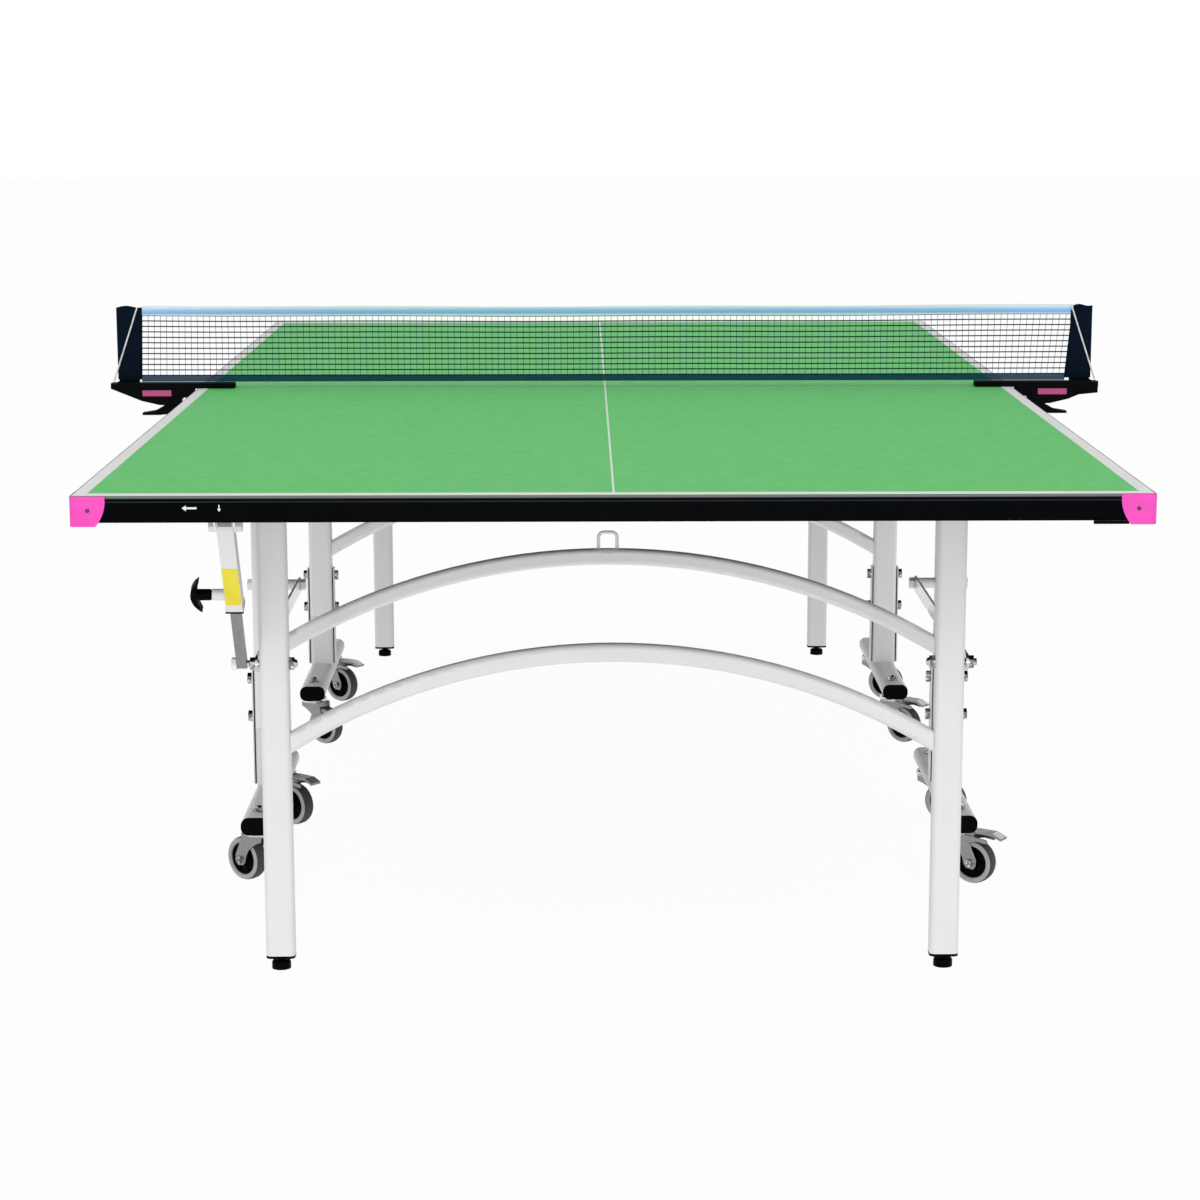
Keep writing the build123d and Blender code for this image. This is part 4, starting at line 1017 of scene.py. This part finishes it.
POST_LOW, POST_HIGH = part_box("front_post_tubes")
POST_HALF_WIDTH = 0.024
POST_HALF_DEPTH = (POST_HIGH[1] - POST_LOW[1]) / 2
POST_X = POST_HIGH[0] - POST_HALF_WIDTH
SEAM_HEIGHT = POST_LOW[2]
SEAM_HALF = 0.016
SPLICE_HALF_DEPTH = 0.011
SPLICE_INSET = 0.0005
SPLICE_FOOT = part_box("front_tube_caps")[1][2] + SPLICE_INSET
SPLICE_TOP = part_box("front_caster_tees")[1][2] - SPLICE_INSET
# Width of the black painted shadow strips beside the splice plates
SPLICE_SHADOW_WIDTH = 0.0018


def splice_marks():
    """Black strips of painted shadow in the gaps beside the posts' splice plates, and a grey line of
    painted shade along the seam between post and stub.
    """
    for half in HALVES:
        y = JOINTS[half + "_link_fold"]["pos_m"][1]
        shadow_strips = []
        seams = []
        for x in (-POST_X, POST_X):
            for face in (-1, 1):
                for edge in (-1, 1):
                    xs = sorted(x + edge * (POST_HALF_WIDTH + reach) for reach in (0, SPLICE_SHADOW_WIDTH))
                    ys = sorted(y + face * (SPLICE_HALF_DEPTH + reach) for reach in (0, PAINT))
                    shadow_strips.append(box_slab((xs[0], ys[0], SPLICE_FOOT), (xs[1], ys[1], SPLICE_TOP)))
                ys = sorted(y + face * (POST_HALF_DEPTH + reach) for reach in (0, PAINT / 2))
                seams.append(box_slab((x - SEAM_HALF, ys[0], SEAM_HEIGHT - PAINT),
                                      (x + SEAM_HALF, ys[1], SEAM_HEIGHT + PAINT)))
        # Black strips of painted shadow in the gaps, grey lines of painted shade along the seams
        add_piece(half + "_splice_shadows", *join(shadow_strips), "black", half + "_trolley", "tube_paint")
        add_piece(half + "_post_seams", *join(seams), "seam", half + "_trolley", "tube_paint")


DOME = [(0.0, 0.0055), (0.0030, 0.0050), (0.0058, 0.0032), (0.0073, 0.0), (0.0, 0.0)]
LEG_NUT_DEPTH = 0.008
# The leg arch ends at the legs' inner sides, where the nuts sit
LEG_NUT_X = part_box("front_leg_arch")[1][0] - LEG_NUT_DEPTH


def bolt_domes():
    """Domed caps on the nuts of the leg bolts."""
    for half in HALVES:
        leg_y = JOINTS[half + "_leg_fold"]["pos_m"][1]
        link_z = JOINTS[half + "_link_fold"]["pos_m"][2]
        caps = [lathe(DOME, (side * LEG_NUT_X, leg_y, link_z), (-side, 0, 0), 20) for side in (-1, 1)]
        add_piece(half + "_leg_domes", *join(caps), "zinc", half + "_legs", "zinc_steel")


# Stage

def place_camera():
    """A camera at the photograph's viewing angle."""
    yaw = math.radians(CAMERA_YAW)
    pitch = math.radians(CAMERA_PITCH)
    roll = math.radians(CAMERA_ROLL)
    level_right = Vector((math.cos(yaw), -math.sin(yaw), 0))
    level_ahead = Vector((math.sin(yaw), math.cos(yaw), 0))
    ahead = level_ahead * math.cos(pitch) - Vector((0, 0, math.sin(pitch)))
    level_up = level_ahead * math.sin(pitch) + Vector((0, 0, math.cos(pitch)))
    right = level_right * math.cos(roll) + level_up * math.sin(roll)
    up = level_up * math.cos(roll) - level_right * math.sin(roll)
    data = bpy.data.cameras.new("camera")
    data.sensor_width = SENSOR_WIDTH
    data.lens = FOCAL_PIXELS / IMAGE_PIXELS * SENSOR_WIDTH
    camera = bpy.data.objects.new("camera", data)
    bpy.context.scene.collection.objects.link(camera)
    camera.matrix_world = Matrix((
        (right.x, up.x, -ahead.x, CAMERA_PLACE[0]),
        (right.y, up.y, -ahead.y, CAMERA_PLACE[1]),
        (right.z, up.z, -ahead.z, CAMERA_PLACE[2]),
        (0, 0, 0, 1)))
    bpy.context.scene.camera = camera


def seen_directly(tree):
    """1 for camera, glossy and transmitted rays, 0 for the rest."""
    rays = tree.nodes.new("ShaderNodeLightPath").outputs
    camera_or_glossy = compute(tree, "MAXIMUM", rays["Is Camera Ray"], rays["Is Glossy Ray"])
    return compute(tree, "MAXIMUM", camera_or_glossy, rays["Is Transmission Ray"])


def light_world():
    """Even white light, and a white backdrop where it is seen directly."""
    world = bpy.data.worlds.new("studio")
    bpy.context.scene.world = world
    world.use_nodes = True
    tree = world.node_tree
    background = tree.nodes["Background"]
    background.inputs["Color"].default_value = (1, 1, 1, 1)
    strength = remap(tree, seen_directly(tree), 0.0, 1.0, WORLD_LIGHT, BACKDROP_WHITE)
    tree.links.new(strength, background.inputs["Strength"])


def area_light(name, place, target, size, power):
    """A round soft lamp that faces its target."""
    data = bpy.data.lights.new(name, "AREA")
    data.shape = "DISK"
    data.size = size
    data.energy = power
    light = bpy.data.objects.new(name, data)
    bpy.context.scene.collection.objects.link(light)
    light.location = place
    light.rotation_euler = (Vector(target) - Vector(place)).to_track_quat("-Z", "Y").to_euler()


def pale_floor():
    """A wide pale floor that keeps the table's shadow, and glows like a lamp to light the table from
    below.
    """
    corners = [(-1, -1), (1, -1), (1, 1), (-1, 1)]
    vertices = [(x * FLOOR_HALF, y * FLOOR_HALF, 0) for x, y in corners]
    mesh = bpy.data.meshes.new("floor")
    mesh.from_pydata(vertices, [], [(0, 1, 2, 3)])
    floor = bpy.data.objects.new("floor", mesh)
    bpy.context.scene.collection.objects.link(floor)
    material, tree, shader = new_material("floor_pale", FLOOR_WHITE, 0.9)
    glow = tree.nodes.new("ShaderNodeEmission")
    mix = tree.nodes.new("ShaderNodeMixShader")
    share = remap(tree, seen_directly(tree), 0.0, 1.0, FLOOR_LAMP_GLOW, FLOOR_GLOW)
    tree.links.new(share, mix.inputs["Fac"])
    tree.links.new(shader.outputs["BSDF"], mix.inputs[1])
    tree.links.new(glow.outputs["Emission"], mix.inputs[2])
    tree.links.new(mix.outputs["Shader"], tree.nodes["Material Output"].inputs["Surface"])
    mesh.materials.append(material)


def main():
    finish_nodes()
    paint_fittings()
    playing_lines()
    for name in CASTERS:
        wheel_pieces(name)
        fork_pieces(name)
        if name + "_pedal" in NODES:
            pedal_ribs(name)
    net_piece()
    net_bands()
    end_sleeves()
    net_cords()
    apron_marks()
    apron_lip()
    guard_screws()
    clamp_tail()
    clamp_plates()
    strut_label()
    lock_necks()
    splice_marks()
    bolt_domes()
    light_world()
    for lamp in LAMPS:
        area_light(*lamp)
    pale_floor()
    place_camera()
    bpy.context.scene.view_settings.view_transform = "Standard"


main()
